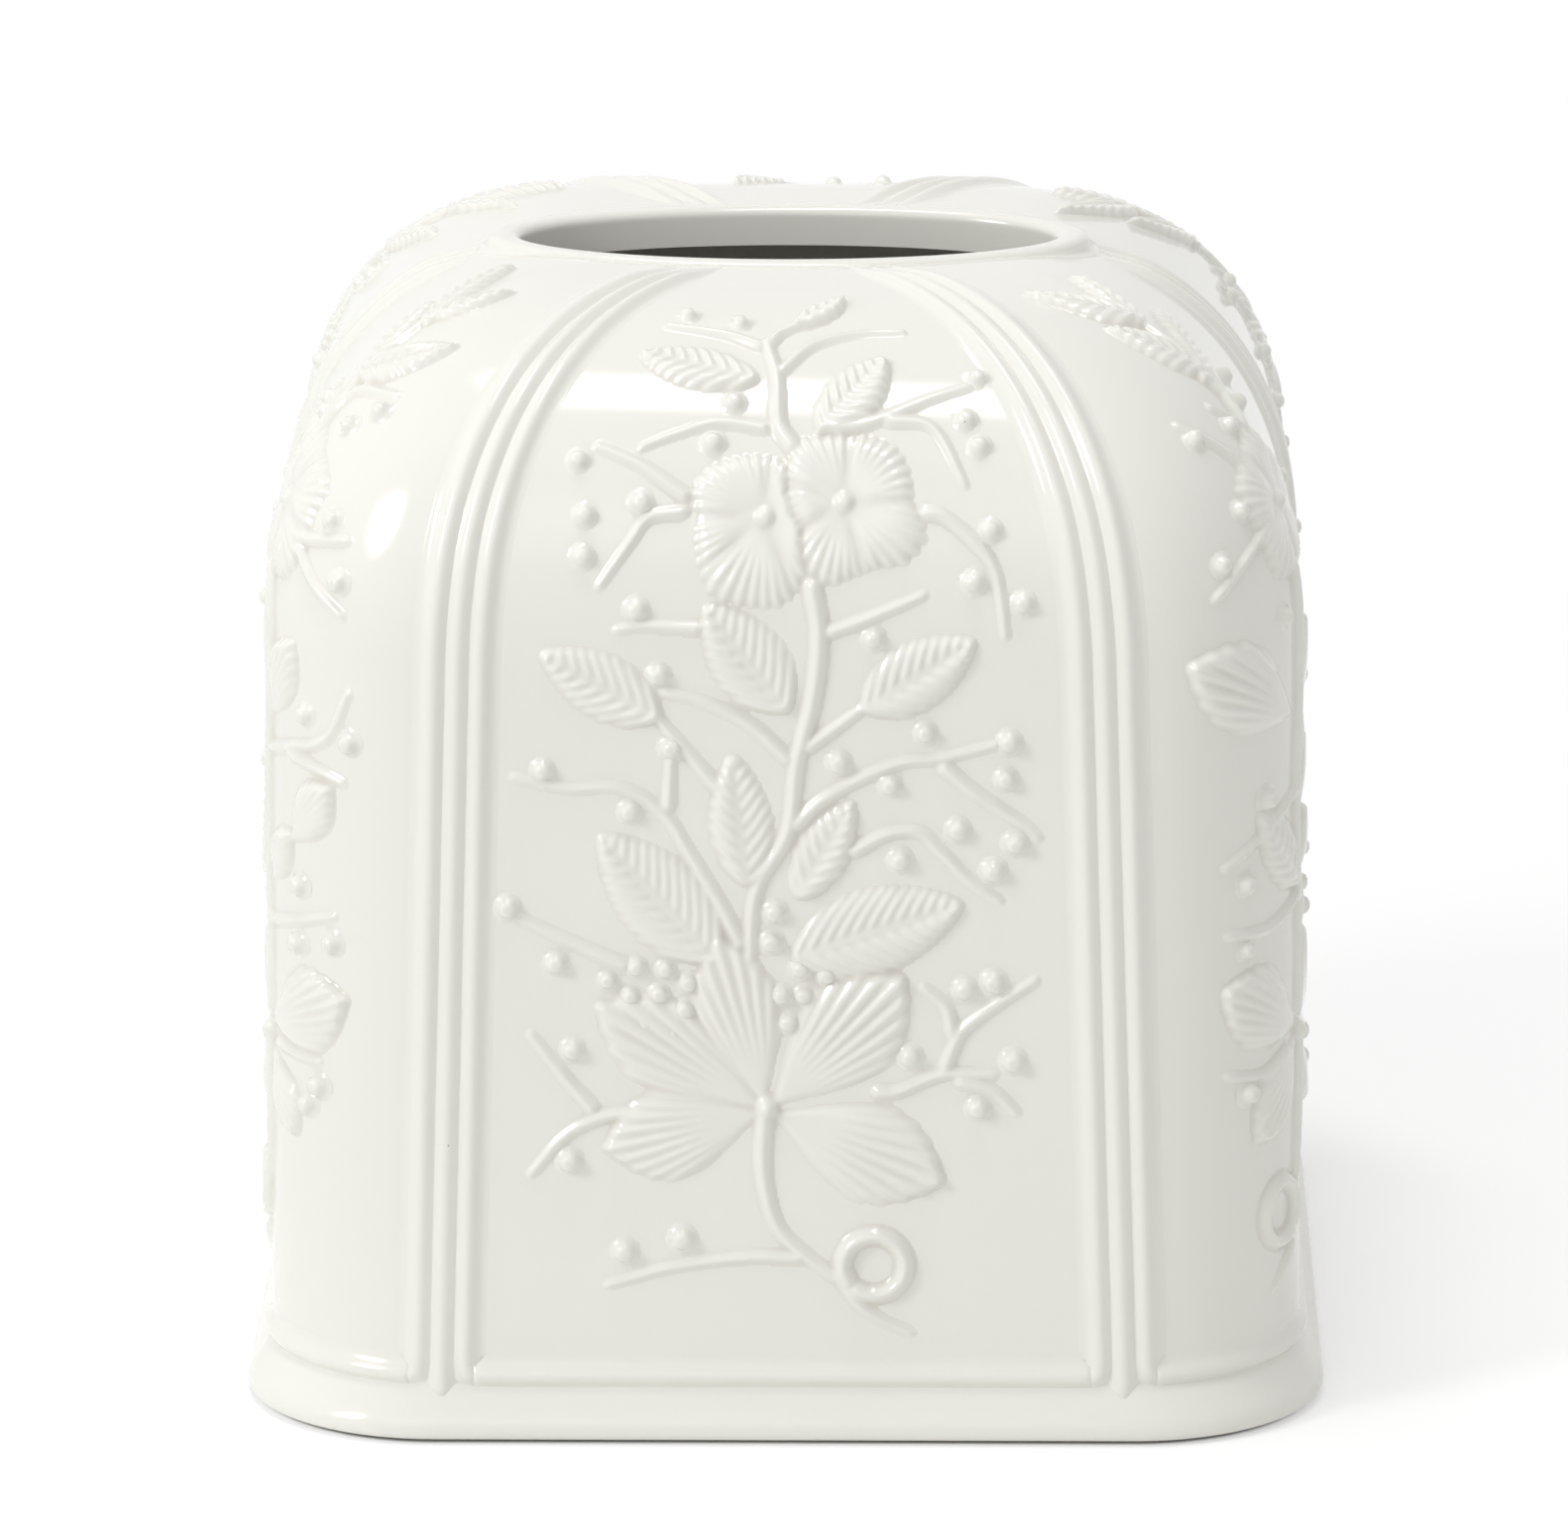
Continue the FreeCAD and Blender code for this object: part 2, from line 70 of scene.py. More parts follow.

# Glazed earthenware, dipped and fired: a thick clear gloss over a warm white body. It gives the eye sharp
# reflections of the lamps, a greyer tone painted beside the relief that stands both for glaze pooled there and for
# painted shade in those hollows, and stray iron specks.
glazedWhite = bpy.data.materials.new("glazedEarthenware")
glazedWhite.use_nodes = True
tree = glazedWhite.node_tree
shader = tree.nodes["Principled BSDF"]
place = addNode(tree, "ShaderNodeTexCoord").outputs["Object"]
mottle = addNode(tree, "ShaderNodeTexNoise", {
    "Vector": place, "Scale": 1 / (glaze["mottleSize"] * mm), "Detail": 2.0})
# Painted shade: this attribute darkens the glaze in the hollows beside the relief, partly as glaze pooled there and
# partly as shade painted into the colour
poolAndShade = addNode(tree, "ShaderNodeAttribute", attribute_name="poolAndShade").outputs["Fac"]
blotch = addNode(tree, "ShaderNodeMath", {0: mottle.outputs["Fac"], 1: glaze["mottleShare"]}, operation="MULTIPLY")
poolShadeAndMottle = addNode(tree, "ShaderNodeMath", {0: poolAndShade, 1: blotch}, operation="ADD", use_clamp=True)
# The tone turns towards the darker colour by the painted shade of the hollows, together with the random mottle
tone = addNode(tree, "ShaderNodeMix", {"Factor": poolShadeAndMottle, 6: linear(glaze["tone"]), 7: linear(glaze["pooledAndShaded"])},
               data_type="RGBA")
cells = addNode(tree, "ShaderNodeTexVoronoi", {"Vector": place, "Scale": 1 / (glaze["speckGap"] * mm)})
speckShare = glaze["speckSize"] / glaze["speckGap"]
speck = addNode(tree, "ShaderNodeMapRange", {
    "Value": cells.outputs["Distance"], "From Min": speckShare * glaze["speckCore"], "From Max": speckShare,
    "To Min": glaze["speckShow"], "To Max": 0.0})
spotted = addNode(tree, "ShaderNodeMix", {"Factor": speck, 6: tone.outputs[2], 7: linear(glaze["speck"])},
                  data_type="RGBA")
ripple = addNode(tree, "ShaderNodeTexNoise", {
    "Vector": place, "Scale": 1 / (glaze["rippleSize"] * mm), "Detail": 1.0})
waves = addNode(tree, "ShaderNodeBump", {"Height": ripple.outputs["Fac"], "Strength": glaze["rippleStrength"],
                                         "Distance": glaze["rippleDepth"] * mm})
tree.links.new(spotted.outputs[2], shader.inputs["Base Color"])
tree.links.new(waves.outputs["Normal"], shader.inputs["Normal"])
shader.inputs["Roughness"].default_value = glaze["roughness"]
shader.inputs["IOR"].default_value = glaze["ior"]

# The shell is a rounded square that follows a profile from the resting plane over the shoulder to the crown
body = {"baseHalf": 70.4, "wallHalf": 69.2, "height": 150.5, "shoulderRise": 44.0, "shoulderInset": 42.0,
        "shoulderPower": 2.25, "cornerShare": 0.365, "wall": 5.0, "columns": 365, "wallRows": 12, "rows": 74,
        "profileSteps": 600, "planSteps": 2401, "sharpAngle": 40}
# Lip of the opening: flank and underside as reach out from the hole, share by which they follow the shell, drop
rim = {"halfLength": 37.9, "halfWidth": 16.0, "width": 3.6, "rise": 0.5, "endLap": 1.1, "round": 1.3,
       "innerArc": (0.15, math.pi / 2, 8), "outerArc": (0.1, 1.1, 7), "points": 160, "sharpAngle": 60,
       "inside": ((0.0, 0.0, -5.4), (0.0, 0.0, -1.6)),
       "flank": ((3.75, 0.45, -0.95), (4.1, 0.8, -0.7), (4.6, 0.97, -0.5), (5.2, 1.0, -0.47), (5.4, 1.0, -0.9),
                 (3.4, 0.0, -3.5), (3.2, 0.0, -5.4))}

spring = body["height"] - body["shoulderRise"]
turns = np.linspace(0, math.pi / 2, body["profileSteps"])
bend = 2 / body["shoulderPower"]
crownHalf = body["wallHalf"] - body["shoulderInset"]
profileHalf = np.r_[body["baseHalf"], crownHalf + body["shoulderInset"] * np.cos(turns).clip(0) ** bend, 0.0]
profileLevel = np.r_[0.0, spring + body["shoulderRise"] * np.sin(turns) ** bend, body["height"]]
profileLength = np.r_[0.0, np.cumsum(np.hypot(np.diff(profileHalf), np.diff(profileLevel)))]
springLength, crownEnd = profileLength[1], profileLength[-2]
flatShare, arcShare = 1 - body["cornerShare"], body["cornerShare"] * math.pi / 2
halfRound = body["wallHalf"] * (4 * flatShare + 2 * arcShare)
midSide = body["wallHalf"] * (2 * flatShare + arcShare)


# Rounded square of half width 1, by the length round it from the middle of the front
def planAt(along, corner=body["cornerShare"]):
    along = np.asarray(along, float)
    flat, arc = 1 - corner, corner * math.pi / 2
    s = np.abs(along)
    turn1, turn2 = (s - flat) / corner, (s - 3 * flat - arc) / corner
    stages = [s <= flat, s <= flat + arc, s <= 3 * flat + arc, s <= 3 * flat + 2 * arc]
    xs = [s, flat + corner * np.sin(turn1), 1 + 0 * s, flat + corner * np.cos(turn2)]
    ys = [-1 + 0 * s, -flat - corner * np.cos(turn1), s - 2 * flat - arc, flat + corner * np.sin(turn2)]
    x, y = np.select(stages, xs, 4 * flat + 2 * arc - s), np.select(stages, ys, 1.0)
    return np.where(along < 0, -x, x), y


# Length up the shell at which the line at this place meets the rim
def crestAt(across):
    x, y = planAt(np.asarray(across) / body["wallHalf"])
    reach = 1 / np.hypot(x / (rim["halfLength"] + rim["width"]), y / (rim["halfWidth"] + rim["width"]))
    return np.interp(-reach, -profileHalf[1:], profileLength[1:])


def halfAt(up):
    return np.interp(up, profileLength, profileHalf)


def levelAt(up):
    return np.interp(up, profileLength, profileLevel)


def narrowAt(up):
    return halfAt(up) / body["wallHalf"]


# A place on the shell or over it; the way out comes from the slopes over a small step each way
def onShell(across, up, rise=0.0):
    aside, ahead = 0.02, 0.05
    x, y = planAt(across / body["wallHalf"])
    x1, y1 = planAt((across + aside) / body["wallHalf"])
    x0, y0 = planAt((across - aside) / body["wallHalf"])
    dHalf, dLevel = halfAt(up + ahead) - halfAt(up - ahead), levelAt(up + ahead) - levelAt(up - ahead)
    out = np.cross(np.stack([x1 - x0, y1 - y0, 0 * x], -1), np.stack([x * dHalf, y * dHalf, dLevel], -1))
    out /= np.linalg.norm(out, axis=-1, keepdims=True)
    return np.stack([halfAt(up) * x, halfAt(up) * y, levelAt(up)], -1) + out * np.asarray(rise)[..., None]


# A smooth line through the places, with a step of this length or a few steps from each to the next
def smoothLine(places, gap=None, steps=5):
    ends = np.vstack([2 * places[0] - places[1], places, 2 * places[-1] - places[-2]])
    line = []
    for a, b, c, d in zip(ends, ends[1:], ends[2:], ends[3:]):
        count = max(int(np.hypot(*(c - b)) / gap), 2) if gap else steps
        t = np.linspace(0, 1, count, endpoint=False)[:, None]
        square, cube = 2 * a - 5 * b + 4 * c - d, 3 * b - a - 3 * c + d
        line.append(0.5 * (2 * b + (c - a) * t + square * t ** 2 + cube * t ** 3))
    return np.vstack(line + [places[-1:]])


guides = []
weld = 2e-6  # metres


def guideLine(name, points, radii=None):
    data = bpy.data.curves.new(name, "CURVE")
    data.dimensions = "3D"
    spline = data.splines.new("POLY")
    spline.points.add(len(points) - 1)
    spline.points.foreach_set("co", np.c_[points, np.ones(len(points))].astype(np.float32).ravel())
    if radii is not None:
        spline.points.foreach_set("radius", np.asarray(radii, np.float32))
    guide = bpy.data.objects.new(name, data)
    scene.collection.objects.link(guide)
    guides.append(guide)
    return guide


# A section drawn across and up
def sectionLine(name, points):
    return guideLine(name, np.c_[points[:, 0], 0 * points[:, 0], points[:, 1]] * mm)


def newTree(name, inputs, outputs=(("Mesh", "Geometry"),)):
    tree = bpy.data.node_groups.new(name, "GeometryNodeTree")
    for way, sockets in (("INPUT", inputs), ("OUTPUT", outputs)):
        for label, kind in sockets:
            tree.interface.new_socket(label, in_out=way, socket_type="NodeSocket" + kind)
    return tree, addNode(tree, "NodeGroupInput").outputs, addNode(tree, "NodeGroupOutput").inputs


def plainMesh(maker, name):
    graph = bpy.context.evaluated_depsgraph_get()
    mesh = bpy.data.meshes.new_from_object(maker.evaluated_get(graph), preserve_all_data_layers=True,
                                           depsgraph=graph)
    bpy.data.objects.remove(maker)
    mesh.name = name
    return mesh


def growMesh(name, tree, values, start=None):
    maker = bpy.data.objects.new(name + "Maker", start or bpy.data.meshes.new(name + "Start"))
    scene.collection.objects.link(maker)
    nodes = maker.modifiers.new("nodes", "NODES")
    nodes.node_group = tree
    for item in tree.interface.items_tree:
        if item.in_out == "INPUT" and item.name in values:
            nodes[item.identifier] = values[item.name]
    return plainMesh(maker, name)


def quadMesh(name, points, quads):
    mesh = bpy.data.meshes.new(name)
    mesh.vertices.add(len(points))
    mesh.vertices.foreach_set("co", (np.asarray(points) * mm).astype(np.float32).ravel())
    mesh.loops.add(quads.size)
    mesh.loops.foreach_set("vertex_index", quads.astype(np.int32).ravel())
    mesh.polygons.add(len(quads))
    mesh.polygons.foreach_set("loop_start", np.arange(0, quads.size, 4, dtype=np.int32))
    mesh.update(calc_edges=True)
    mesh.shade_smooth()
    return mesh


def faceOut(mesh, sharp=None):
    work = bmesh.new()
    work.from_mesh(mesh)
    bmesh.ops.remove_doubles(work, verts=work.verts, dist=weld)
    bmesh.ops.dissolve_degenerate(work, edges=work.edges, dist=weld / 20)
    bmesh.ops.recalc_face_normals(work, faces=work.faces)
    work.to_mesh(mesh)
    work.free()
    mesh.shade_smooth()
    if sharp:
        mesh.set_sharp_from_angle(angle=math.radians(sharp))
    return mesh


def addPiece(name, mesh, *nodes):
    piece = bpy.data.objects.new(name, mesh)
    scene.collection.objects.link(piece)
    mesh.materials.clear()
    mesh.materials.append(glazedWhite)
    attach(piece, "root")
    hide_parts(*nodes)
    return piece


# Where the copies of a piece go: name, node, and whether it is turned half round or mirrored in X
fourCorners = {"frontRight": ("front_right", False, False), "frontLeft": ("front_left", False, True),
               "backLeft": ("back_left", True, False), "backRight": ("back_right", True, True)}
midSides = {"rightSide": ("right_side", False, False), "leftSide": ("left_side", True, False)}
twoFaces = {"front": ("front", False, False), "back": ("back", True, False)}
# The sprays run the same way round on every corner, so theirs aren't mirrored
rightCorners = {name: fourCorners[name] for name in ("frontRight", "backLeft")}
leftCorners = {name: fourCorners[name][:2] + (False,) for name in ("frontLeft", "backRight")}


def addCopies(kind, mesh, places):
    for name, (node, turned, mirrored) in places.items():
        copy = mesh.copy()
        copy.name = name + kind
        mirror = Matrix.Diagonal((-1.0 if mirrored else 1.0, 1.0, 1.0, 1.0))
        copy.transform(Matrix.Rotation(math.pi if turned else 0.0, 4, "Z") @ mirror)
        if mirrored:
            copy.flip_normals()
        addPiece(name + kind, copy, node + "_" + kind.lower())


# Sample of a guide line in a tree
def onGuide(tree, guide, links, **settings):
    info = addNode(tree, "GeometryNodeObjectInfo", {"Object": guide})
    return addNode(tree, "GeometryNodeSampleCurve", {"Curves": info.outputs["Geometry"], **links},
                   use_all_curves=True, **settings)


# A point of the shell in a tree, from the length across, the length up and the height over it
shellSockets = [("Plan", "Object"), ("Profile", "Object"), ("Wall Half", "Float"), ("Half Round", "Float")]
shellTree, given, made = newTree(
    "pointOnShell", shellSockets + [("Across", "Float"), ("Up", "Float"), ("Rise", "Float")],
    (("Position", "Vector"), ("Out", "Vector"), ("Narrow", "Float"), ("Crest", "Float")))
tree = shellTree
around = addNode(tree, "ShaderNodeMath", {0: given["Across"], 1: given["Half Round"]}, operation="ADD")
unit = addNode(tree, "ShaderNodeMath", {0: around, 1: given["Wall Half"]}, operation="DIVIDE")
crestSize = addNode(tree, "GeometryNodeInputRadius")
ring = onGuide(tree, given["Plan"], {"Length": unit, "Value": crestSize}, mode="LENGTH", data_type="FLOAT")
side = onGuide(tree, given["Profile"], {"Length": given["Up"]}, mode="LENGTH")
spot = addNode(tree, "ShaderNodeSeparateXYZ", {0: side.outputs["Position"]})
slope = addNode(tree, "ShaderNodeSeparateXYZ", {0: side.outputs["Tangent"]})
flat = addNode(tree, "ShaderNodeVectorMath", {0: ring.outputs["Position"], "Scale": spot}, operation="SCALE")
lift = addNode(tree, "ShaderNodeCombineXYZ", {2: spot.outputs[2]})
foot = addNode(tree, "ShaderNodeVectorMath", {0: flat, 1: lift}, operation="ADD")
lean = addNode(tree, "ShaderNodeVectorMath", {0: ring.outputs["Position"], "Scale": slope}, operation="SCALE")
climb = addNode(tree, "ShaderNodeCombineXYZ", {2: slope.outputs[2]})
upward = addNode(tree, "ShaderNodeVectorMath", {0: lean, 1: climb}, operation="ADD")
cross = addNode(tree, "ShaderNodeVectorMath", {0: ring.outputs["Tangent"], 1: upward}, operation="CROSS_PRODUCT")
outward = addNode(tree, "ShaderNodeVectorMath", {0: cross}, operation="NORMALIZE")
raised = addNode(tree, "ShaderNodeVectorMath", {0: outward, "Scale": given["Rise"]}, operation="SCALE")
total = addNode(tree, "ShaderNodeVectorMath", {0: foot, 1: raised}, operation="ADD")
narrow = addNode(tree, "ShaderNodeMath", {0: spot, 1: given["Wall Half"]}, operation="DIVIDE")
for label, node in (("Position", total), ("Out", outward), ("Narrow", narrow), ("Crest", ring)):
    tree.links.new(node.outputs[0], made[label])

ringAcross = np.linspace(-halfRound, halfRound, body["planSteps"])
ringX, ringY = planAt(ringAcross / body["wallHalf"])
plan = guideLine("planLine", np.c_[ringX, ringY, 0 * ringX], crestAt(ringAcross) * mm)
profile = sectionLine("profileLine", np.c_[profileHalf, profileLevel])
shellInputs = {"Plan": plan, "Profile": profile, "Wall Half": body["wallHalf"] * mm, "Half Round": halfRound * mm,
               "Material": glazedWhite}


def shellPoint(tree, given, links):
    shared = {label: given[label] for label, kind in shellSockets}
    return addNode(tree, "GeometryNodeGroup", {**shared, **links}, node_tree=shellTree)


# A grid and each of its points' share of the way along both sides
def unitGrid(tree, columns, rows):
    grid = addNode(tree, "GeometryNodeMeshGrid", {"Size X": 1.0, "Size Y": 1.0, "Vertices X": columns,
                                                  "Vertices Y": rows})
    point = addNode(tree, "GeometryNodeInputPosition")
    cell = addNode(tree, "ShaderNodeVectorMath", {0: point, 1: (0.5, 0.5, 0.0)}, operation="ADD")
    return grid, addNode(tree, "ShaderNodeSeparateXYZ", {0: cell}).outputs


# The last nodes of every tree
def finishTree(tree, made, source, material):
    smooth = addNode(tree, "GeometryNodeSetShadeSmooth", {"Geometry": source})
    real = addNode(tree, "GeometryNodeRealizeInstances", {"Geometry": smooth})
    coated = addNode(tree, "GeometryNodeSetMaterial", {"Geometry": real, "Material": material})
    tree.links.new(coated.outputs[0], made["Mesh"])


def finishGrid(tree, made, grid, position, material):
    laid = addNode(tree, "GeometryNodeSetPosition", {"Geometry": grid.outputs["Mesh"], "Position": position})
    merged = addNode(tree, "GeometryNodeMergeByDistance", {"Geometry": laid, "Distance": weld})
    finishTree(tree, made, merged, material)


# Cover shell: a grid laid round the plan and up the profile to the rim, then given its wall
tree, given, made = newTree("coverShell", shellSockets + [
    ("Columns", "Int"), ("Rows", "Int"), ("Wall Share", "Float"), ("Spring Length", "Float"),
    ("Material", "Material")])
grid, share = unitGrid(tree, given["Columns"], given["Rows"])
twice = addNode(tree, "ShaderNodeMath", {0: given["Half Round"], 1: 2.0}, operation="MULTIPLY")
along = addNode(tree, "ShaderNodeMath", {0: share[0], 1: twice}, operation="MULTIPLY")
across = addNode(tree, "ShaderNodeMath", {0: along, 1: given["Half Round"]}, operation="SUBTRACT")
crest = shellPoint(tree, given, {"Across": across})
onWall = addNode(tree, "ShaderNodeMapRange", {"Value": share[1], "From Min": 0.0, "From Max": given["Wall Share"],
                                              "To Min": 0.0, "To Max": given["Spring Length"]})
onDome = addNode(tree, "ShaderNodeMapRange", {"Value": share[1], "From Min": given["Wall Share"], "From Max": 1.0,
                                              "To Min": 0.0, "To Max": 1.0})
domeLength = addNode(tree, "ShaderNodeMath", {0: crest.outputs["Crest"], 1: given["Spring Length"]},
                     operation="SUBTRACT")
up = addNode(tree, "ShaderNodeMath", {0: onDome, 1: domeLength, 2: onWall}, operation="MULTIPLY_ADD")
laid = shellPoint(tree, given, {"Across": across, "Up": up})
finishGrid(tree, made, grid, laid.outputs["Position"], given["Material"])

shellMesh = growMesh("coverShell", tree, {
    **shellInputs, "Columns": body["columns"], "Rows": body["rows"],
    "Wall Share": body["wallRows"] / (body["rows"] - 1), "Spring Length": float(springLength) * mm})
skin = bpy.data.objects.new("coverSkin", shellMesh)
scene.collection.objects.link(skin)
thick = skin.modifiers.new("wall", "SOLIDIFY")
thick.thickness, thick.offset = body["wall"] * mm, -1.0
wallMesh = plainMesh(skin, "coverWall")
spots = np.empty(len(wallMesh.vertices) * 3, np.float32)
wallMesh.vertices.foreach_get("co", spots)
spots[2::3] = spots[2::3].clip(0.0)  # the inner edge stays on the resting plane
wallMesh.vertices.foreach_set("co", spots)
wallMesh.set_sharp_from_angle(angle=math.radians(body["sharpAngle"]))
addPiece("coverShell", wallMesh, "cover_shell")
print("cover shell:", len(wallMesh.polygons), "faces")

# Foot band: a closed section carried round its own plan
footBand = {"flare": ((69.6, 8.6), (70.2, 8.1), (70.6, 7.5), (71.3, 6.4), (72.15, 5.1), (72.95, 3.9), (73.4, 3.0),
                      (73.59, 2.1), (73.5, 1.25), (73.0, 0.75), (72.3, 0.6)),
            "inner": 69.6, "ring": 70.2, "lifted": 0.6, "cornerShare": 0.352, "columns": 240, "sectionSteps": 72,
            "planSteps": 1601, "sharpAngle": 50}

tree, given, made = newTree("footBand", [("Plan", "Object"), ("Section", "Object"), ("Columns", "Int"),
                                         ("Steps", "Int"), ("Material", "Material")])
grid, share = unitGrid(tree, given["Columns"], given["Steps"])
ring = onGuide(tree, given["Plan"], {"Factor": share[0]})
edge = onGuide(tree, given["Section"], {"Factor": share[1]})
spot = addNode(tree, "ShaderNodeSeparateXYZ", {0: edge.outputs["Position"]})
flat = addNode(tree, "ShaderNodeVectorMath", {0: ring.outputs["Position"], "Scale": spot}, operation="SCALE")
lift = addNode(tree, "ShaderNodeCombineXYZ", {2: spot.outputs[2]})
total = addNode(tree, "ShaderNodeVectorMath", {0: flat, 1: lift}, operation="ADD")
finishGrid(tree, made, grid, total.outputs[0], given["Material"])

# Section: inner face, resting ring, the lifted edge that stands clear of the table, and the flare up to the wall
inner, ringHalf = footBand["inner"], footBand["ring"]
sectionPoints = np.vstack([[inner, 0.0], [ringHalf, 0.0], [ringHalf, footBand["lifted"]],
                           smoothLine(np.array(footBand["flare"])[::-1]), [inner, 0.0]])
unitRound = 4 * (1 - footBand["cornerShare"]) + footBand["cornerShare"] * math.pi
footX, footY = planAt(np.linspace(-unitRound, unitRound, footBand["planSteps"]), footBand["cornerShare"])
footMesh = growMesh("footBand", tree, {
    "Plan": guideLine("footPlan", np.c_[footX, footY, 0 * footX]),
    "Section": sectionLine("footSection", sectionPoints), "Columns": footBand["columns"],
    "Steps": footBand["sectionSteps"], "Material": glazedWhite})
addPiece("footBand", faceOut(footMesh, footBand["sharpAngle"]), "foot_band")
print("foot band:", len(footMesh.polygons), "faces")

# Opening rim: an oval lip whose outer flank runs down to the shell
angles = np.arange(rim["points"]) * 2 * math.pi / rim["points"]
rimX, rimY = np.cos(angles), np.sin(angles)
lipTop, soft = body["height"] + rim["rise"], rim["round"]
lipSection = list(rim["inside"])
lipSection += [(soft - soft * math.cos(a), 0.0, soft * math.sin(a) - soft) for a in np.linspace(*rim["innerArc"])]
lipSection += [(rim["width"] - soft + soft * math.sin(a), 0.0, soft * math.cos(a) - soft)
               for a in np.linspace(*rim["outerArc"])]
lipSection += rim["flank"]
loops = []
for width, hug, drop in lipSection:
    lap = rim["endLap"] * max(1 - width / rim["width"], 0.0) * np.abs(rimX)  # thicker at the narrow ends
    x, y = (rim["halfLength"] + width - lap) * rimX, (rim["halfWidth"] + width) * rimY
    ground = np.interp(-np.maximum(np.abs(x), np.abs(y)), -profileHalf[1:], profileLevel[1:]) + rim["rise"]
    loops.append(np.stack([x, y, (1 - hug) * lipTop + hug * ground + drop], -1))
index = np.arange(len(loops) * rim["points"]).reshape(len(loops), rim["points"])
nextRing = np.roll(index, -1, 0)
quads = np.stack([index, nextRing, np.roll(nextRing, -1, 1), np.roll(index, -1, 1)], -1).reshape(-1, 4)
rimMesh = faceOut(quadMesh("openingRim", np.concatenate(loops), quads), rim["sharpAngle"])
addPiece("openingRim", rimMesh, "opening_rim")
print("rim:", len(rimMesh.polygons), "faces")

# Beads of the ribs and sills: a section carried along a line on the shell
bead = {"headHalf": 42.6, "footSpread": 2.6, "pitch": 3.1, "proud": 1.1, "soft": 1.35, "power": 2.2, "flank": 3.0,
        "tuck": 0.05, "sunk": 0.5, "sectionPoints": 31, "sectionSteps": 46, "along": 150, "fade": 0.93,
        "fadeTo": 0.3, "footLevel": 5.0, "underRim": 1.2, "pathPoints": 160, "elbow": 1.2, "elbowSteps": 8,
        "sillLevel": 9.0, "sillFade": 0.999, "faceAlong": 90, "cornerAlong": 110}

beadTree, given, made = newTree("bead", shellSockets + [
    ("Path", "Object"), ("Section", "Object"), ("Steps", "Int"), ("Along", "Int"), ("Sunk", "Float"),
    ("Fade", "Float"), ("Fade To", "Float"), ("Material", "Material")])
tree = beadTree
grid, share = unitGrid(tree, given["Steps"], given["Along"])
line = onGuide(tree, given["Path"], {"Factor": share[1]})
edge = onGuide(tree, given["Section"], {"Factor": share[0]})
spot = addNode(tree, "ShaderNodeSeparateXYZ", {0: line.outputs["Position"]}).outputs
way = addNode(tree, "ShaderNodeSeparateXYZ", {0: line.outputs["Tangent"]}).outputs
cut = addNode(tree, "ShaderNodeSeparateXYZ", {0: edge.outputs["Position"]}).outputs
width = shellPoint(tree, given, {"Up": spot[1]})
sideways = addNode(tree, "ShaderNodeMath", {0: cut[0], 1: way[1]}, operation="MULTIPLY")
spread = addNode(tree, "ShaderNodeMath", {0: sideways, 1: width.outputs["Narrow"]}, operation="DIVIDE")
across = addNode(tree, "ShaderNodeMath", {0: spot[0], 1: spread}, operation="ADD")
downward = addNode(tree, "ShaderNodeMath", {0: cut[0], 1: way[0]}, operation="MULTIPLY")
up = addNode(tree, "ShaderNodeMath", {0: spot[1], 1: downward}, operation="SUBTRACT")
# Both ends close below the surface, and the bead sinks towards the rim
started = addNode(tree, "ShaderNodeMath", {0: share[1], 1: 0.0001}, operation="GREATER_THAN")
ended = addNode(tree, "ShaderNodeMath", {0: share[1], 1: 0.9999}, operation="LESS_THAN")
within = addNode(tree, "ShaderNodeMath", {0: started, 1: ended}, operation="MULTIPLY")
above = addNode(tree, "ShaderNodeMath", {0: cut[2], 1: given["Sunk"]}, operation="ADD")
fading = addNode(tree, "ShaderNodeMapRange", {
    "Value": share[1], "From Min": given["Fade"], "From Max": 1.0, "To Min": 1.0, "To Max": given["Fade To"]},
    interpolation_type="SMOOTHSTEP")
faded = addNode(tree, "ShaderNodeMath", {0: above, 1: fading}, operation="MULTIPLY")
kept = addNode(tree, "ShaderNodeMath", {0: faded, 1: within}, operation="MULTIPLY")
rise = addNode(tree, "ShaderNodeMath", {0: kept, 1: given["Sunk"]}, operation="SUBTRACT")
laid = shellPoint(tree, given, {"Across": across, "Up": up, "Rise": rise})
finishGrid(tree, made, grid, laid.outputs["Position"], given["Material"])

flank, tuck, sunk = bead["flank"], bead["tuck"], bead["sunk"]
offsets = np.linspace(-flank, flank, bead["sectionPoints"])
crown = bead["proud"] * np.exp(-(np.abs(offsets) / bead["soft"]) ** bead["power"])
crown[[0, -1]] = -tuck
underside = [[flank, -sunk], [-flank, -sunk], [-flank, -tuck]]
beadSection = sectionLine("beadSection", np.r_[np.c_[offsets, crown], underside])


def growBead(name, path, along, fade):
    guide = guideLine(name + "Path", np.c_[path, np.zeros(len(path))] * mm)
    return growMesh(name, beadTree, {
        **shellInputs, "Path": guide, "Section": beadSection, "Steps": bead["sectionSteps"], "Along": along,
        "Sunk": sunk * mm, "Fade": fade, "Fade To": bead["fadeTo"]})


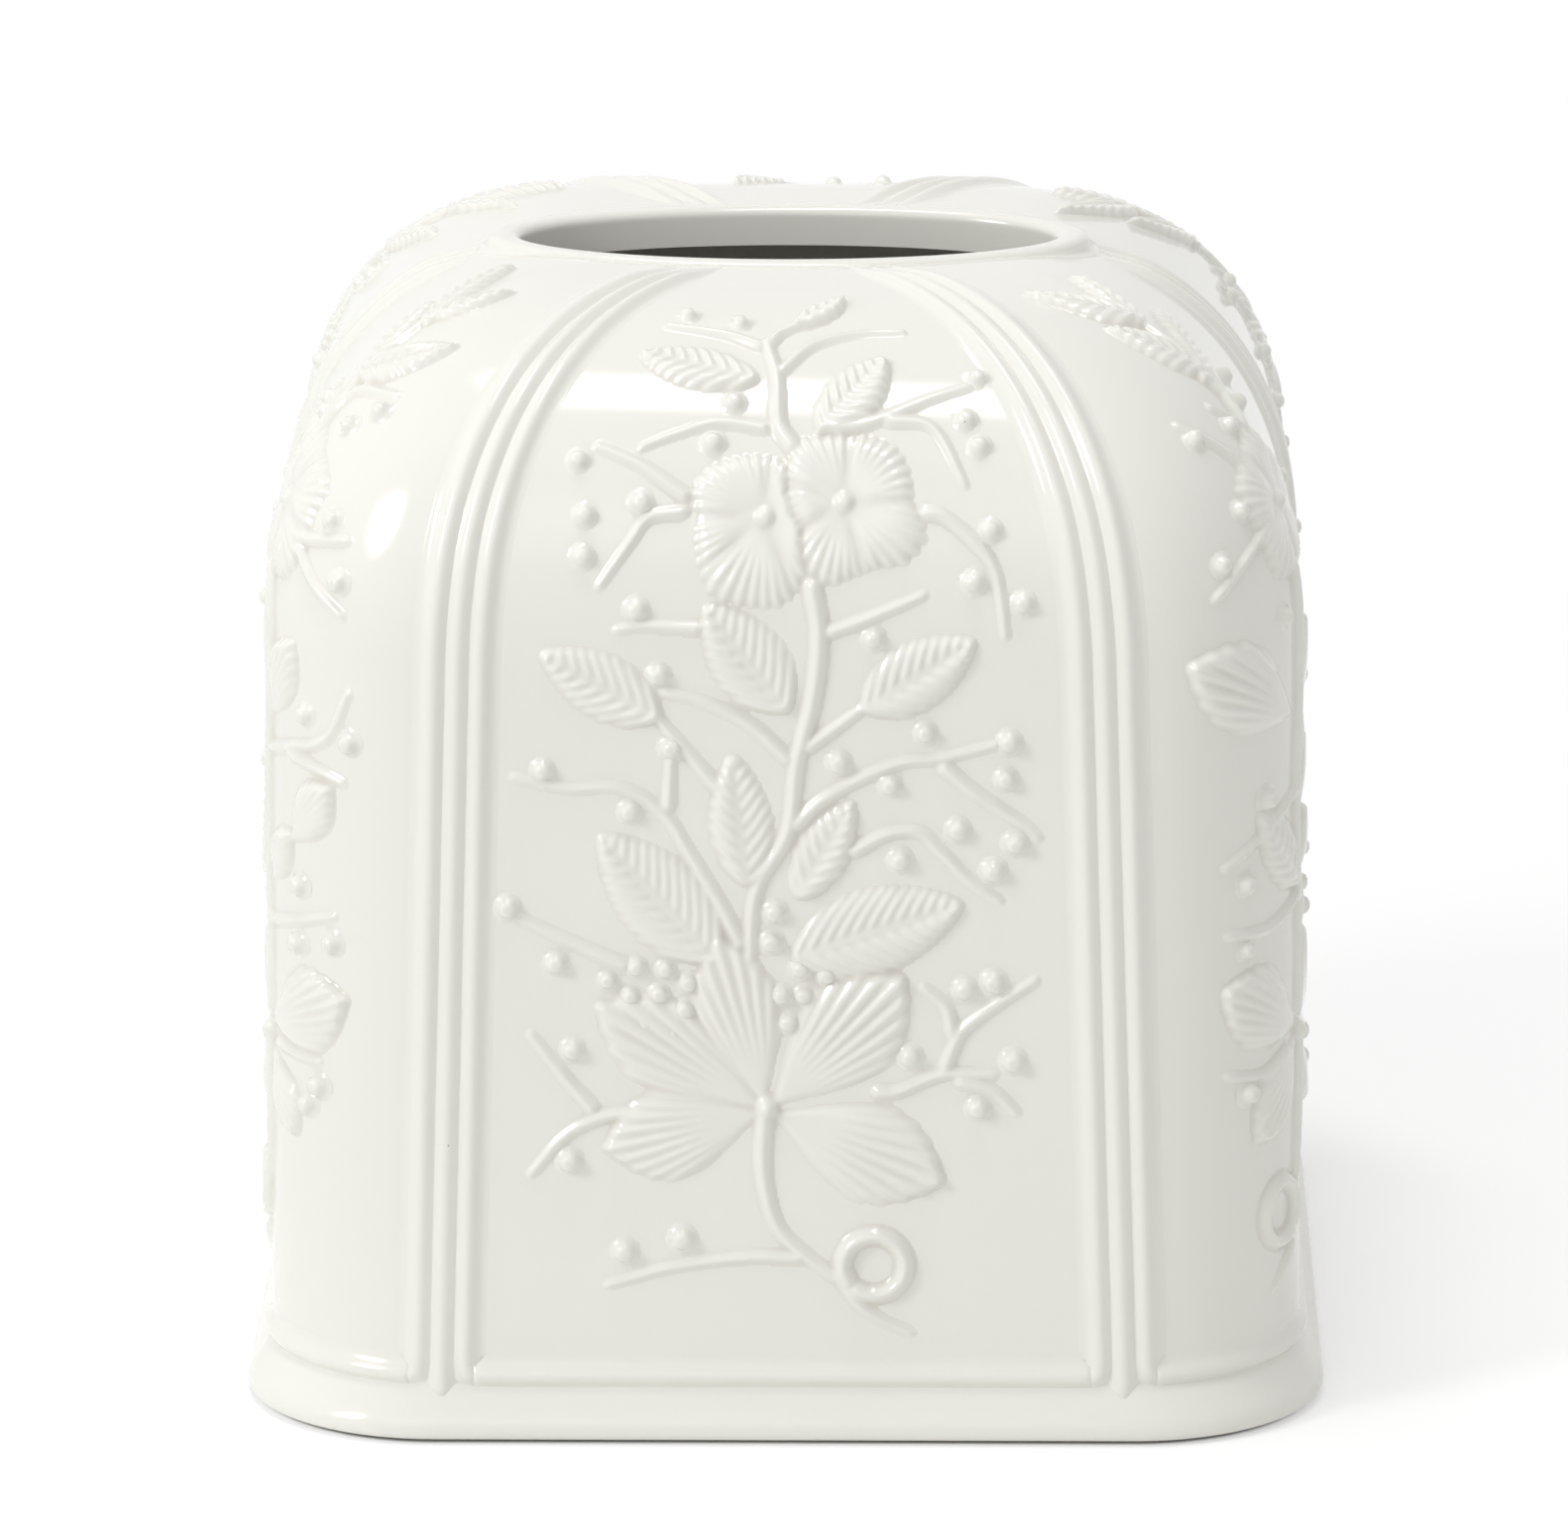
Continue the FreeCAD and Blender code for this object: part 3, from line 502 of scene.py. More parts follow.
# Three beads: the middle one runs down to the foot, and each outer one turns into a sill
def growRib(name, headHalf, footHalf):
    crestLength = float(crestAt(headHalf)) + bead["underRim"]
    elbowTop = bead["sillLevel"] + bead["elbow"]
    work = bmesh.new()
    for beadSide in (-1, 0, 1):
        up = np.linspace(elbowTop if beadSide else bead["footLevel"], crestLength, bead["pathPoints"])
        middle = headHalf + (footHalf - headHalf) * (1 - (up - elbowTop) / spring).clip(0, 1)
        path = np.c_[middle + beadSide * bead["pitch"] / narrowAt(up).clip(None, 1), up]
        if beadSide:
            swing = np.linspace(math.pi / 2, 0, bead["elbowSteps"], endpoint=False)
            corner = path[0] + [beadSide * bead["elbow"], 0.0]
            elbow = corner + bead["elbow"] * np.c_[-beadSide * np.cos(swing), -np.sin(swing)]
            stepLength = np.hypot(*np.diff(np.r_[elbow, path], axis=0).T).sum() / (bead["along"] - 2)
            path = np.r_[[corner + [beadSide * stepLength, -bead["elbow"]]], elbow, path]
        work.from_mesh(growBead(name + str(beadSide), path, bead["along"], bead["fade"]))
    joined = bpy.data.meshes.new(name)
    work.to_mesh(joined)
    work.free()
    return faceOut(joined)


# A sill reaches one step into the elbow at each end, so that both are at full height where they meet
def growSill(name, start, end, along):
    step = (end - start) / (along - 3)
    run = np.linspace(start - step, end + step, 2 * along)
    return faceOut(growBead(name, np.c_[run, np.full(2 * along, bead["sillLevel"])], along, bead["sillFade"]))


sillEnd, turnIn = bead["headHalf"] + bead["footSpread"], bead["pitch"] + bead["elbow"]
frontRib = growRib("frontRib", bead["headHalf"], sillEnd)
addCopies("Rib", frontRib, fourCorners)
addCopies("Rib", growRib("sideRib", midSide, midSide), midSides)
addCopies("Sill", growSill("faceSill", turnIn - sillEnd, sillEnd - turnIn, bead["faceAlong"]), twoFaces)
addCopies("Sill", growSill("cornerSill", sillEnd + turnIn, midSide - turnIn, bead["cornerAlong"]), fourCorners)
print("ribs and sills:", len(frontRib.polygons), "faces a rib")

# Sprays: a place is a share of half the panel across and a share of the panel's rise above the sill. A leaf has
# a base, a tip, its half width as a share of its length, and whether its veins fan out from the base. A flower
# has a centre, its margin as turns in degrees and reach in millimetres, and the turns of the gaps between petals.
# A curl has a centre, the turn where it starts and how far it goes round.
leftMargin = ((-15, 6.2), (30, 5.8), (74, 8.0), (90, 8.4), (115, 9.0), (137, 10.2), (155, 10.6), (180, 8.8),
              (208, 10.2), (236, 12.6), (262, 12.0), (280, 12.1), (301, 10.2))
rightMargin = ((0, 9.0), (21, 9.7), (47, 10.7), (83, 9.3), (105, 9.6), (127, 10.5), (146, 8.7), (170, 7.8),
               (212, 6.9), (242, 10.9), (258, 11.3), (274, 9.9), (299, 9.5), (313, 11.3), (336, 11.8))
roundMargin = ((0, 9.6), (18, 11.0), (54, 9.2), (90, 11.0), (126, 9.2), (162, 11.0), (198, 9.4), (234, 11.4),
               (270, 9.6), (306, 11.4), (340, 9.8))
frontSpray = {
    "trunks": (
        ((0.1, 0.656), (0.12, 0.616), (0.1, 0.565), (0.05, 0.512), (0.02, 0.455), (-0.08, 0.405), (-0.1, 0.34)),
        ((-0.05, 0.23), (-0.06, 0.176), (-0.02, 0.129), (0.07, 0.103), (0.16, 0.084)),
        ((0.04, 0.77), (-0.01, 0.79), (-0.02, 0.832), (-0.07, 0.874)),
    ),
    "twigs": (
        ((0.05, 0.1), (-0.12, 0.1), (-0.34, 0.092), (-0.54, 0.077)),
        ((0.0, 0.84), (0.14, 0.869), (0.35, 0.884), (0.57, 0.887)),
        ((-0.05, 0.872), (-0.01, 0.884), (0.07, 0.895), (0.2, 0.915)),
        ((-0.1, 0.869), (-0.28, 0.884), (-0.56, 0.896)),
        ((0.2, 0.783), (0.33, 0.79), (0.57, 0.812), (0.74, 0.824)),
        ((0.4, 0.791), (0.55, 0.785), (0.62, 0.737)),
        ((-0.06, 0.785), (-0.23, 0.79), (-0.37, 0.78), (-0.49, 0.768)),
        ((-0.32, 0.728), (-0.48, 0.753), (-0.65, 0.769)),
        ((-0.32, 0.715), (-0.43, 0.71), (-0.48, 0.692), (-0.57, 0.656)),
        ((0.48, 0.714), (0.54, 0.71), (0.63, 0.689), (0.68, 0.667), (0.7, 0.616)),
        ((-0.26, 0.622), (-0.42, 0.624), (-0.51, 0.621)),
        ((0.16, 0.62), (0.26, 0.629), (0.45, 0.649)),
        ((0.02, 0.516), (-0.09, 0.543), (-0.24, 0.562), (-0.36, 0.57)),
        ((0.09, 0.526), (0.18, 0.543), (0.27, 0.56)),
        ((-0.2, 0.493), (-0.29, 0.521), (-0.39, 0.552)),
        ((-0.13, 0.364), (-0.19, 0.396), (-0.29, 0.44), (-0.36, 0.469), (-0.49, 0.491), (-0.67, 0.491),
         (-0.83, 0.5)),
        ((-0.35, 0.478), (-0.34, 0.516)),
        ((0.05, 0.462), (0.13, 0.482), (0.26, 0.501), (0.38, 0.513), (0.49, 0.516), (0.67, 0.527)),
        ((0.51, 0.508), (0.62, 0.485), (0.75, 0.463), (0.8, 0.451)),
        ((0.23, 0.44), (0.33, 0.454), (0.43, 0.455), (0.5, 0.438), (0.6, 0.412), (0.68, 0.399)),
        ((-0.49, 0.345), (-0.67, 0.366), (-0.82, 0.385)),
        ((0.3, 0.24), (0.36, 0.24), (0.5, 0.254), (0.66, 0.254)),
        ((0.51, 0.262), (0.56, 0.29), (0.66, 0.311), (0.79, 0.333)),
        ((0.53, 0.29), (0.51, 0.311), (0.44, 0.327)),
        ((0.56, 0.248), (0.65, 0.241), (0.73, 0.223)),
        ((-0.44, 0.224), (-0.57, 0.217), (-0.68, 0.201), (-0.78, 0.17)),
        ((-0.59, 0.226), (-0.68, 0.253), (-0.78, 0.287)),
        ((0.18, 0.083), (0.23, 0.063), (0.3, 0.049), (0.4, 0.037)),
    ),
    "leaves": (
        ((-0.1, 0.83), (-0.61, 0.86), 0.21, False), ((0.14, 0.783), (0.44, 0.854), 0.24, False),
        ((0.06, 0.893), (0.355, 0.94), 0.2, False), ((0.02, 0.556), (-0.23, 0.64), 0.29, False),
        ((0.26, 0.557), (0.6, 0.612), 0.27, False), ((-0.38, 0.55), (-0.74, 0.602), 0.25, False),
        ((-0.1, 0.412), (-0.15, 0.518), 0.24, False), ((0.05, 0.402), (0.22, 0.479), 0.24, False),
        ((-0.2, 0.35), (-0.56, 0.452), 0.26, False), ((0.04, 0.352), (0.56, 0.396), 0.26, False),
        ((-0.06, 0.226), (-0.57, 0.312), 0.24, True), ((-0.05, 0.228), (-0.2, 0.367), 0.24, True),
        ((-0.03, 0.227), (0.38, 0.335), 0.28, True), ((-0.03, 0.222), (0.5, 0.164), 0.28, True),
        ((-0.06, 0.222), (-0.55, 0.192), 0.3, True),
    ),
    "flowers": (
        ((-0.05, 0.711), leftMargin, (85, 180, 222, 292)),
        ((0.21, 0.7225), rightMargin, (0, 80, 160, 215, 285)),
    ),
    "curls": (((0.285, 0.094), 215.0, -340.0),),
    "bosses": ((-0.045, 0.226),),
    "berries": (
        (-0.31, 0.116), (-0.49, 0.105), (-0.49, 0.91), (-0.21, 0.898), (-0.18, 0.808), (0.79, 0.832),
        (0.68, 0.792), (0.7, 0.769), (-0.7, 0.757), (-0.24, 0.772), (-0.64, 0.712), (-0.46, 0.722),
        (-0.63, 0.679), (0.68, 0.7), (0.61, 0.659), (0.76, 0.642), (-0.45, 0.637), (0.29, 0.614),
        (-0.38, 0.584), (-0.74, 0.506), (-0.47, 0.472), (-0.34, 0.524), (0.45, 0.537), (0.71, 0.529),
        (0.18, 0.512), (0.34, 0.494), (0.7, 0.499), (0.73, 0.446), (0.55, 0.457), (0.66, 0.423), (0.37, 0.432),
        (-0.7, 0.346), (-0.85, 0.392), (-0.02, 0.389), (-0.03, 0.364), (-0.54, 0.332), (-0.45, 0.343),
        (-0.36, 0.341), (-0.29, 0.33), (-0.47, 0.319), (-0.38, 0.321), (-0.3, 0.308), (-0.42, 0.298),
        (-0.34, 0.287), (0.0, 0.32), (0.06, 0.342), (0.14, 0.337), (0.07, 0.32), (0.02, 0.297), (0.72, 0.265),
        (0.66, 0.331), (0.57, 0.325), (0.4, 0.269), (0.61, 0.226), (-0.66, 0.181), (-0.65, 0.274),
    ),
}
# The corner spray is the same way round on every corner, and its left and right twigs differ
cornerSpray = {
    "axisShare": 0.417,
    "trunks": (
        ((0.0, 0.645), (0.025, 0.59), (0.015, 0.53), (-0.02, 0.465), (-0.015, 0.4), (0.01, 0.335), (0.0, 0.275)),
        ((0.0, 0.26), (0.0, 0.2), (-0.02, 0.15), (-0.06, 0.118)),
        ((0.0, 0.76), (0.02, 0.8), (0.0, 0.84), (-0.01, 0.872)),
    ),
    "twigs": (
        ((-0.105, 0.713), (-0.18, 0.738), (-0.261, 0.758), (-0.379, 0.779)),
        ((0.0, 0.757), (-0.07, 0.772), (-0.153, 0.786)),
        ((0.03, 0.782), (-0.02, 0.8), (-0.072, 0.819)),
        ((-0.12, 0.69), (-0.29, 0.668), (-0.454, 0.639)),
        ((-0.02, 0.462), (-0.16, 0.45), (-0.28, 0.435), (-0.43, 0.417)),
        ((-0.02, 0.372), (-0.23, 0.358), (-0.42, 0.36)),
        ((-0.12, 0.248), (-0.27, 0.237), (-0.42, 0.243)),
        ((0.03, 0.785), (0.106, 0.799), (0.328, 0.804)),
        ((0.12, 0.68), (0.21, 0.677), (0.417, 0.684)),
        ((0.2, 0.668), (0.299, 0.646), (0.441, 0.624)),
        ((0.02, 0.494), (0.2, 0.506), (0.38, 0.521), (0.47, 0.562)),
        ((0.2, 0.5), (0.35, 0.494), (0.45, 0.487)),
        ((0.02, 0.35), (0.19, 0.36), (0.41, 0.375)),
        ((0.1, 0.252), (0.24, 0.25), (0.34, 0.25)),
        ((-0.08, 0.083), (-0.12, 0.07), (-0.2, 0.052)),
    ),
    "leaves": (
        ((0.06, 0.805), (-0.28, 0.878), 0.2, False), ((0.04, 0.868), (-0.39, 0.941), 0.2, False),
        ((-0.05, 0.525), (-0.56, 0.589), 0.25, True), ((-0.03, 0.385), (-0.28, 0.455), 0.27, False),
        ((-0.03, 0.262), (-0.44, 0.315), 0.3, True), ((-0.03, 0.256), (-0.3, 0.182), 0.29, True),
        ((-0.06, 0.805), (0.39, 0.858), 0.2, False), ((-0.04, 0.868), (0.2, 0.932), 0.2, False),
        ((0.02, 0.52), (0.21, 0.592), 0.3, True), ((0.19, 0.426), (0.4, 0.482), 0.3, True),
        ((0.03, 0.384), (0.19, 0.434), 0.3, True), ((0.03, 0.264), (0.46, 0.308), 0.3, True),
        ((0.03, 0.244), (0.23, 0.183), 0.29, True),
    ),
    "flowers": (((0.0, 0.698), roundMargin, (54, 126, 198, 270, 342)),),
    "curls": (((-0.16, 0.115), -35.0, 340.0),),
    "bosses": ((0.0, 0.256),),
    "berries": (
        (-0.336, 0.765), (-0.105, 0.766), (-0.27, 0.703), (-0.407, 0.665), (-0.24, 0.466), (-0.34, 0.4),
        (-0.34, 0.345), (-0.33, 0.225), (-0.12, 0.61), (0.309, 0.788), (0.196, 0.77), (0.332, 0.697),
        (0.412, 0.65), (0.28, 0.536), (0.47, 0.521), (0.25, 0.393), (0.24, 0.344), (0.4, 0.352), (0.34, 0.23),
        (0.29, 0.212),
    ),
}

panelRise = crownEnd - bead["sillLevel"]
# Heights over the shell are held on a fine grid of each panel and raised form by form
# Two of these set the painted shade of the hollows beside the relief: how far it spreads, and how deep a hollow
# must be to turn fully dark
relief = {"step": 0.3, "soften": 0.3, "least": 0.03, "under": 0.45, "tuck": 0.04, "poolAndShadeSpread": 1.1,
          "poolAndShadeDepth": 0.55, "breadthShare": 0.97, "border": 2.0}
stemForm = {"twigHalf": 0.7, "twigProud": 1.0, "trunkHalf": 0.96, "trunkProud": 1.2, "tipShare": 0.6, "skirt": 1.5,
            "flank": 1.6, "gap": 0.25}
curlForm = {"half": 4.15, "tube": 0.92, "proud": 1.45, "points": 16}
leafForm = {"rise": 0.9, "middle": 0.45, "edgeLift": 0.3, "edgeFrom": (0.0, 0.8), "lowerLift": 0.5,
            "lowerFrom": (-0.6, 0.6), "vein": 0.68, "veinFrom": (0.03, 0.25), "gap": 2.05, "lean": 0.85,
            "sweep": 0.06, "sharp": 1.5, "widest": 0.85, "blunt": 0.7,
            "scallop": (0.93, 0.1), "midrib": 0.35, "midribHalf": 0.4, "midribFade": 0.7}
fanForm = {"rise": 1.15, "stalk": 0.45, "fullBy": 0.65, "dish": 0.2, "vein": 0.7, "veinFrom": (0.08, 0.5),
           "gap": 5.3, "behind": 0.1, "sharp": 1.2, "widest": 1.35, "blunt": 0.85, "scallop": (0.96, 0.06)}
leafEdge = {"power": 3.2, "round": 0.8, "reach": 0.72, "least": 0.01}
flowerForm = {"rise": 1.1, "middle": 0.45, "cup": 1.2, "vein": 0.64, "veinFrom": (0.12, 0.75), "ridges": 40,
              "wobble": 1.1, "waves": 5, "sharp": 1.2, "scallop": (0.955, 0.06), "gapDepth": 0.4, "gapHalf": 0.8,
              "gapFrom": (0.1, 0.5), "edgePower": 5, "edgeRound": 0.75, "reach": 14.0}
bossForm = {"half": 1.3, "rise": 1.7, "dimple": 0.5, "dimpleHalf": 0.4}


def ease(low, high, value):
    t = ((value - low) / (high - low)).clip(0, 1)
    return t * t * (3 - 2 * t)


def ridged(phase, sharp):
    return (0.5 + 0.5 * np.cos(phase)) ** sharp


class Panel:
    def __init__(self, axis, breadth):
        self.axis, self.breadth = axis, breadth
        reach = breadth * relief["breadthShare"]
        self.us = np.arange(axis - reach, axis + reach, relief["step"])
        self.vs = np.arange(bead["sillLevel"] + relief["border"], crownEnd - relief["border"], relief["step"])
        self.narrow = narrowAt(self.vs)
        self.fields = {kind: np.zeros((len(self.vs), len(self.us))) for kind in ("Stems", "Leaves", "Flowers")}

    def spot(self, shares):
        return np.array([self.axis + shares[0] * self.breadth, bead["sillLevel"] + shares[1] * panelRise])

    # Part of the grid round a place, with its offsets from there in true millimetres
    def patch(self, place, reach):
        spans = []
        wide = reach / float(narrowAt(place[1]))
        for start, middle, half in ((self.vs[0], place[1], reach), (self.us[0], place[0], wide)):
            first, last = (middle - half - start) / relief["step"], (middle + half - start) / relief["step"]
            spans.append(slice(max(int(first), 0), max(int(last) + 2, 0)))
        rows, columns = spans
        dx = (self.us[columns] - place[0])[None, :] * self.narrow[rows][:, None]
        dy = np.broadcast_to((self.vs[rows] - place[1])[:, None], dx.shape)
        return (rows, columns), dx, dy

    def raiseTo(self, kind, where, height):
        self.fields[kind][where] = np.maximum(self.fields[kind][where], height)

    def raiseDome(self, kind, place, reach, height, power):
        where, dx, dy = self.patch(place, reach)
        self.raiseTo(kind, where, height * (1 - (dx ** 2 + dy ** 2) / reach ** 2).clip(0) ** power)


# A line of small domes that shrink towards its end
def raiseStem(panel, places, half, proud, endShare):
    line = smoothLine(places, stemForm["gap"])
    for place, size in zip(line, np.linspace(1, endShare, len(line))):
        panel.raiseDome("Stems", place, stemForm["skirt"] * half * size, proud * size ** 0.5, stemForm["flank"])


def raiseLeaf(panel, base, tip, widthShare, fan):
    form = fanForm if fan else leafForm
    start, end = panel.spot(base), panel.spot(tip)
    scale = float(narrowAt((start[1] + end[1]) / 2))
    span = np.array([(end[0] - start[0]) * scale, end[1] - start[1]])
    length = np.hypot(*span)
    span /= length
    where, dx, dy = panel.patch((start + end) / 2, length * leafEdge["reach"])
    rows, columns = where
    dx = (panel.us[columns] - start[0])[None, :] * scale + 0 * dx
    dy = (panel.vs[rows] - start[1])[:, None] + 0 * dy
    along, aside = dx * span[0] + dy * span[1], dy * span[0] - dx * span[1]
    x = (along / length).clip(0, 1)
    if fan:
        phase = np.degrees(np.arctan2(aside, along + form["behind"] * length)) / form["gap"]
    else:
        phase = (along - form["lean"] * np.abs(aside) - form["sweep"] * aside ** 2) / form["gap"]
    ridge = ridged(2 * math.pi * phase, form["sharp"])
    wavy = form["scallop"][0] + form["scallop"][1] * ridge
    half = widthShare * length * np.sin(math.pi * x ** form["widest"]) ** form["blunt"] * wavy + leafEdge["least"]
    t = np.abs(aside) / half
    if fan:
        height = form["rise"] * (form["stalk"] + (1 - form["stalk"]) * ease(0.0, form["fullBy"], x))
        height = height * (1 - form["dish"] * (1 - t.clip(0, 1) ** 2))
        height = height + form["vein"] * ridge * ease(*form["veinFrom"], x)
    else:
        # The half that hangs down stands further out
        lower = ease(*form["lowerFrom"], -aside * np.sign(span[0]) / half)
        lift = form["edgeLift"] * ease(*form["edgeFrom"], t) + form["lowerLift"] * lower
        height = form["rise"] * (form["middle"] + lift) + form["vein"] * ridge * ease(*form["veinFrom"], t)
        height = height + form["midrib"] * np.exp(-(aside / form["midribHalf"]) ** 2) * (1 - form["midribFade"] * x)
    height = height * (1 - t.clip(0, 1) ** leafEdge["power"]) ** leafEdge["round"]
    panel.raiseTo("Leaves", where, height * ((along > 0) & (along < length)))


def raiseFlower(panel, centre, margin, gaps):
    form = flowerForm
    where, dx, dy = panel.patch(panel.spot(centre), form["reach"])
    turn, distance = np.arctan2(dy, dx), np.hypot(dx, dy)
    angle = np.degrees(turn)
    ridge = ridged(turn * form["ridges"] + form["wobble"] * np.sin(turn * form["waves"] + 1), form["sharp"])
    edge = np.interp(angle, *np.array(margin, float).T, period=360)
    t = distance / (edge * (form["scallop"][0] + form["scallop"][1] * ridge))
    height = form["rise"] * (form["middle"] + (1 - form["middle"]) * t.clip(0, 1) ** form["cup"])
    height = height + form["vein"] * ridge * ease(*form["veinFrom"], t)
    for gap in gaps:
        off = np.radians(np.abs((angle - gap + 180) % 360 - 180)) * distance
        height = height * (1 - form["gapDepth"] * np.exp(-(off / form["gapHalf"]) ** 2) * ease(*form["gapFrom"], t))
    height = height * (1 - t.clip(0, 1) ** form["edgePower"]) ** form["edgeRound"]
    boss = bossForm["rise"] * (1 - (distance / bossForm["half"]) ** 2).clip(0) ** 0.5
    boss = boss - bossForm["dimple"] * np.exp(-(distance / bossForm["dimpleHalf"]) ** 2)
    field = panel.fields["Flowers"][where]
    panel.fields["Flowers"][where] = np.where(t < 1, np.maximum(height, boss), field)  # later flowers lie on top


def blurred(field, size):
    reach = int(3 * size / relief["step"]) + 1
    kernel = np.exp(-0.5 * (np.arange(-reach, reach + 1) * relief["step"] / size) ** 2)
    kernel /= kernel.sum()
    for axis in (0, 1):
        padded = np.pad(field, [(reach, reach) if a == axis else (0, 0) for a in (0, 1)])
        field = sum(k * np.take(padded, range(i, i + field.shape[axis]), axis) for i, k in enumerate(kernel))
    return field


# Closed sheets of one panel, one for each kind: they share one softened surface, so they meet without a step
def sheetsOf(panel):
    kinds = list(panel.fields)
    stack = np.stack([panel.fields[kind] for kind in kinds])
    height = blurred(stack.max(0), relief["soften"])
    owner = np.argmax(np.stack([blurred(f, relief["soften"] * 2) for f in stack]), 0)
    # Painted shade: where the surface lies below its blurred self, beside the relief, the glaze is marked darker,
    # partly as pooled glaze and partly as shade painted into the colour
    pooledAndShaded = ((blurred(height, relief["poolAndShadeSpread"]) - height) / relief["poolAndShadeDepth"]).clip(0, 1).ravel()
    acrossGrid, upGrid = np.meshgrid(panel.us, panel.vs)
    surface = onShell(acrossGrid, upGrid, height)
    normal = np.cross(np.gradient(surface, axis=1), np.gradient(surface, axis=0)).reshape(-1, 3)
    normal /= np.linalg.norm(normal, axis=-1, keepdims=True)
    shown = height > relief["least"]
    first, last = slice(0, -1), slice(1, None)
    cellCorners = [(first, first), (first, last), (last, last), (last, first)]
    active = np.any([shown[c] for c in cellCorners], 0)
    cellOwner = owner[first, first]
    outside = np.zeros(height.shape, bool)
    for c in cellCorners:
        outside[c] |= ~active
    top = onShell(acrossGrid, upGrid, np.where(outside, -relief["tuck"], height)).reshape(-1, 3)
    low = onShell(acrossGrid, upGrid, np.full(height.shape, -relief["under"])).reshape(-1, 3)
    index = np.arange(height.size).reshape(height.shape)
    sheets = {}
    for number, kind in enumerate(kinds):
        chosen = active & (cellOwner == number)
        upper = np.stack([index[c][chosen] for c in cellCorners], -1)
        edges = np.concatenate([upper[:, [0, 1]], upper[:, [1, 2]], upper[:, [2, 3]], upper[:, [3, 0]]])
        keys = edges.min(1).astype(np.int64) * height.size + edges.max(1)
        firstSeen, times = np.unique(keys, return_index=True, return_counts=True)[1:]
        used = np.unique(upper)
        count = len(used)
        place = np.full(height.size, -1)
        place[used] = np.arange(count)
        border = place[edges[firstSeen[times == 1]]]
        walls = np.c_[border[:, 1], border[:, 0], border[:, 0] + count, border[:, 1] + count]
        quads = np.concatenate([place[upper], place[upper[:, ::-1]] + count, walls])
        mesh = quadMesh("sheet" + kind, np.concatenate([top[used], low[used]]), quads)
        # The painted shade of the hollows goes with each sheet as a point attribute
        layer = mesh.attributes.new("poolAndShade", "FLOAT", "POINT")
        layer.data.foreach_set("value", np.concatenate([pooledAndShaded[used], np.zeros(count)]).astype(np.float32))
        mesh.normals_split_custom_set_from_vertices(np.concatenate([normal[used], -normal[used]]).tolist())
        sheets[kind] = mesh
    return sheets


# Berry: a dimpled ball with a soft foot, turned from a short outline. Berries get smaller up the spray, and
# those of the two bunches, between two places, are smaller still.
berry = {"outline": ((0.0, 1.76), (0.5, 1.92), (1.2, 1.55), (1.56, 0.9), (1.95, 0.26), (2.9, -0.1)), "turns": 12,
         "sizes": (0.95, 1.05), "seed": 7, "lowest": 0.9, "shrink": 0.2, "sharpAngle": 70, "mound": 0.3,
         "moundReach": 3.1, "bunchFrom": (-0.56, 0.28), "bunchTo": (0.2, 0.35), "bunchSize": 0.7}


def berrySize(shares):
    if all(low < share < high for low, share, high in zip(berry["bunchFrom"], shares, berry["bunchTo"])):
        return berry["bunchSize"]
    return berry["lowest"] - berry["shrink"] * shares[1]


count = berry["turns"]
turn = np.arange(count) * 2 * math.pi / count
work = bmesh.new()
pole = work.verts.new((0.0, 0.0, berry["outline"][0][1] * mm))
loops = [[work.verts.new((r * mm * math.cos(a), r * mm * math.sin(a), z * mm)) for a in turn]
         for r, z in berry["outline"][1:]]
for i in range(count):
    j = (i + 1) % count
    work.faces.new((pole, loops[0][i], loops[0][j]))
    for inside, outside in zip(loops, loops[1:]):
        work.faces.new((inside[i], outside[i], outside[j], inside[j]))
work.faces.new(loops[-1][::-1])
berryMesh = bpy.data.meshes.new("berryShape")
work.to_mesh(berryMesh)
work.free()
berryMesh.shade_smooth()
berryMesh.set_sharp_from_angle(angle=math.radians(berry["sharpAngle"]))
berryShape = bpy.data.objects.new("berryShape", berryMesh)
scene.collection.objects.link(berryShape)
guides.append(berryShape)

# Each place has its length across, its length up and the berry's size as its coordinates
berryTree, given, made = newTree("berries", [("Places", "Geometry")] + shellSockets + [
    ("Berry", "Object"), ("Least", "Float"), ("Most", "Float"), ("Seed", "Int"), ("Material", "Material")])
tree = berryTree
stored = addNode(tree, "GeometryNodeStoreNamedAttribute", {
    "Geometry": given["Places"], "Name": "place", "Value": addNode(tree, "GeometryNodeInputPosition")},
    data_type="FLOAT_VECTOR", domain="POINT")
placed = addNode(tree, "GeometryNodeInputNamedAttribute", {"Name": "place"}, data_type="FLOAT_VECTOR")
spot = addNode(tree, "ShaderNodeSeparateXYZ", {0: placed}).outputs
point = shellPoint(tree, given, {"Across": spot[0], "Up": spot[1]})
laid = addNode(tree, "GeometryNodeSetPosition", {"Geometry": stored, "Position": point.outputs["Position"]})
facing = addNode(tree, "FunctionNodeAlignRotationToVector", {"Vector": point.outputs["Out"]}, axis="Z")
vary = addNode(tree, "FunctionNodeRandomValue", {2: given["Least"], 3: given["Most"], "Seed": given["Seed"]},
               data_type="FLOAT")
size = addNode(tree, "ShaderNodeMath", {0: vary.outputs[1], 1: spot[2]}, operation="MULTIPLY")
shape = addNode(tree, "GeometryNodeObjectInfo", {"Object": given["Berry"]})
berriesOn = addNode(tree, "GeometryNodeInstanceOnPoints", {
    "Points": laid, "Instance": shape.outputs["Geometry"], "Rotation": facing, "Scale": size})
finishTree(tree, made, berriesOn, given["Material"])


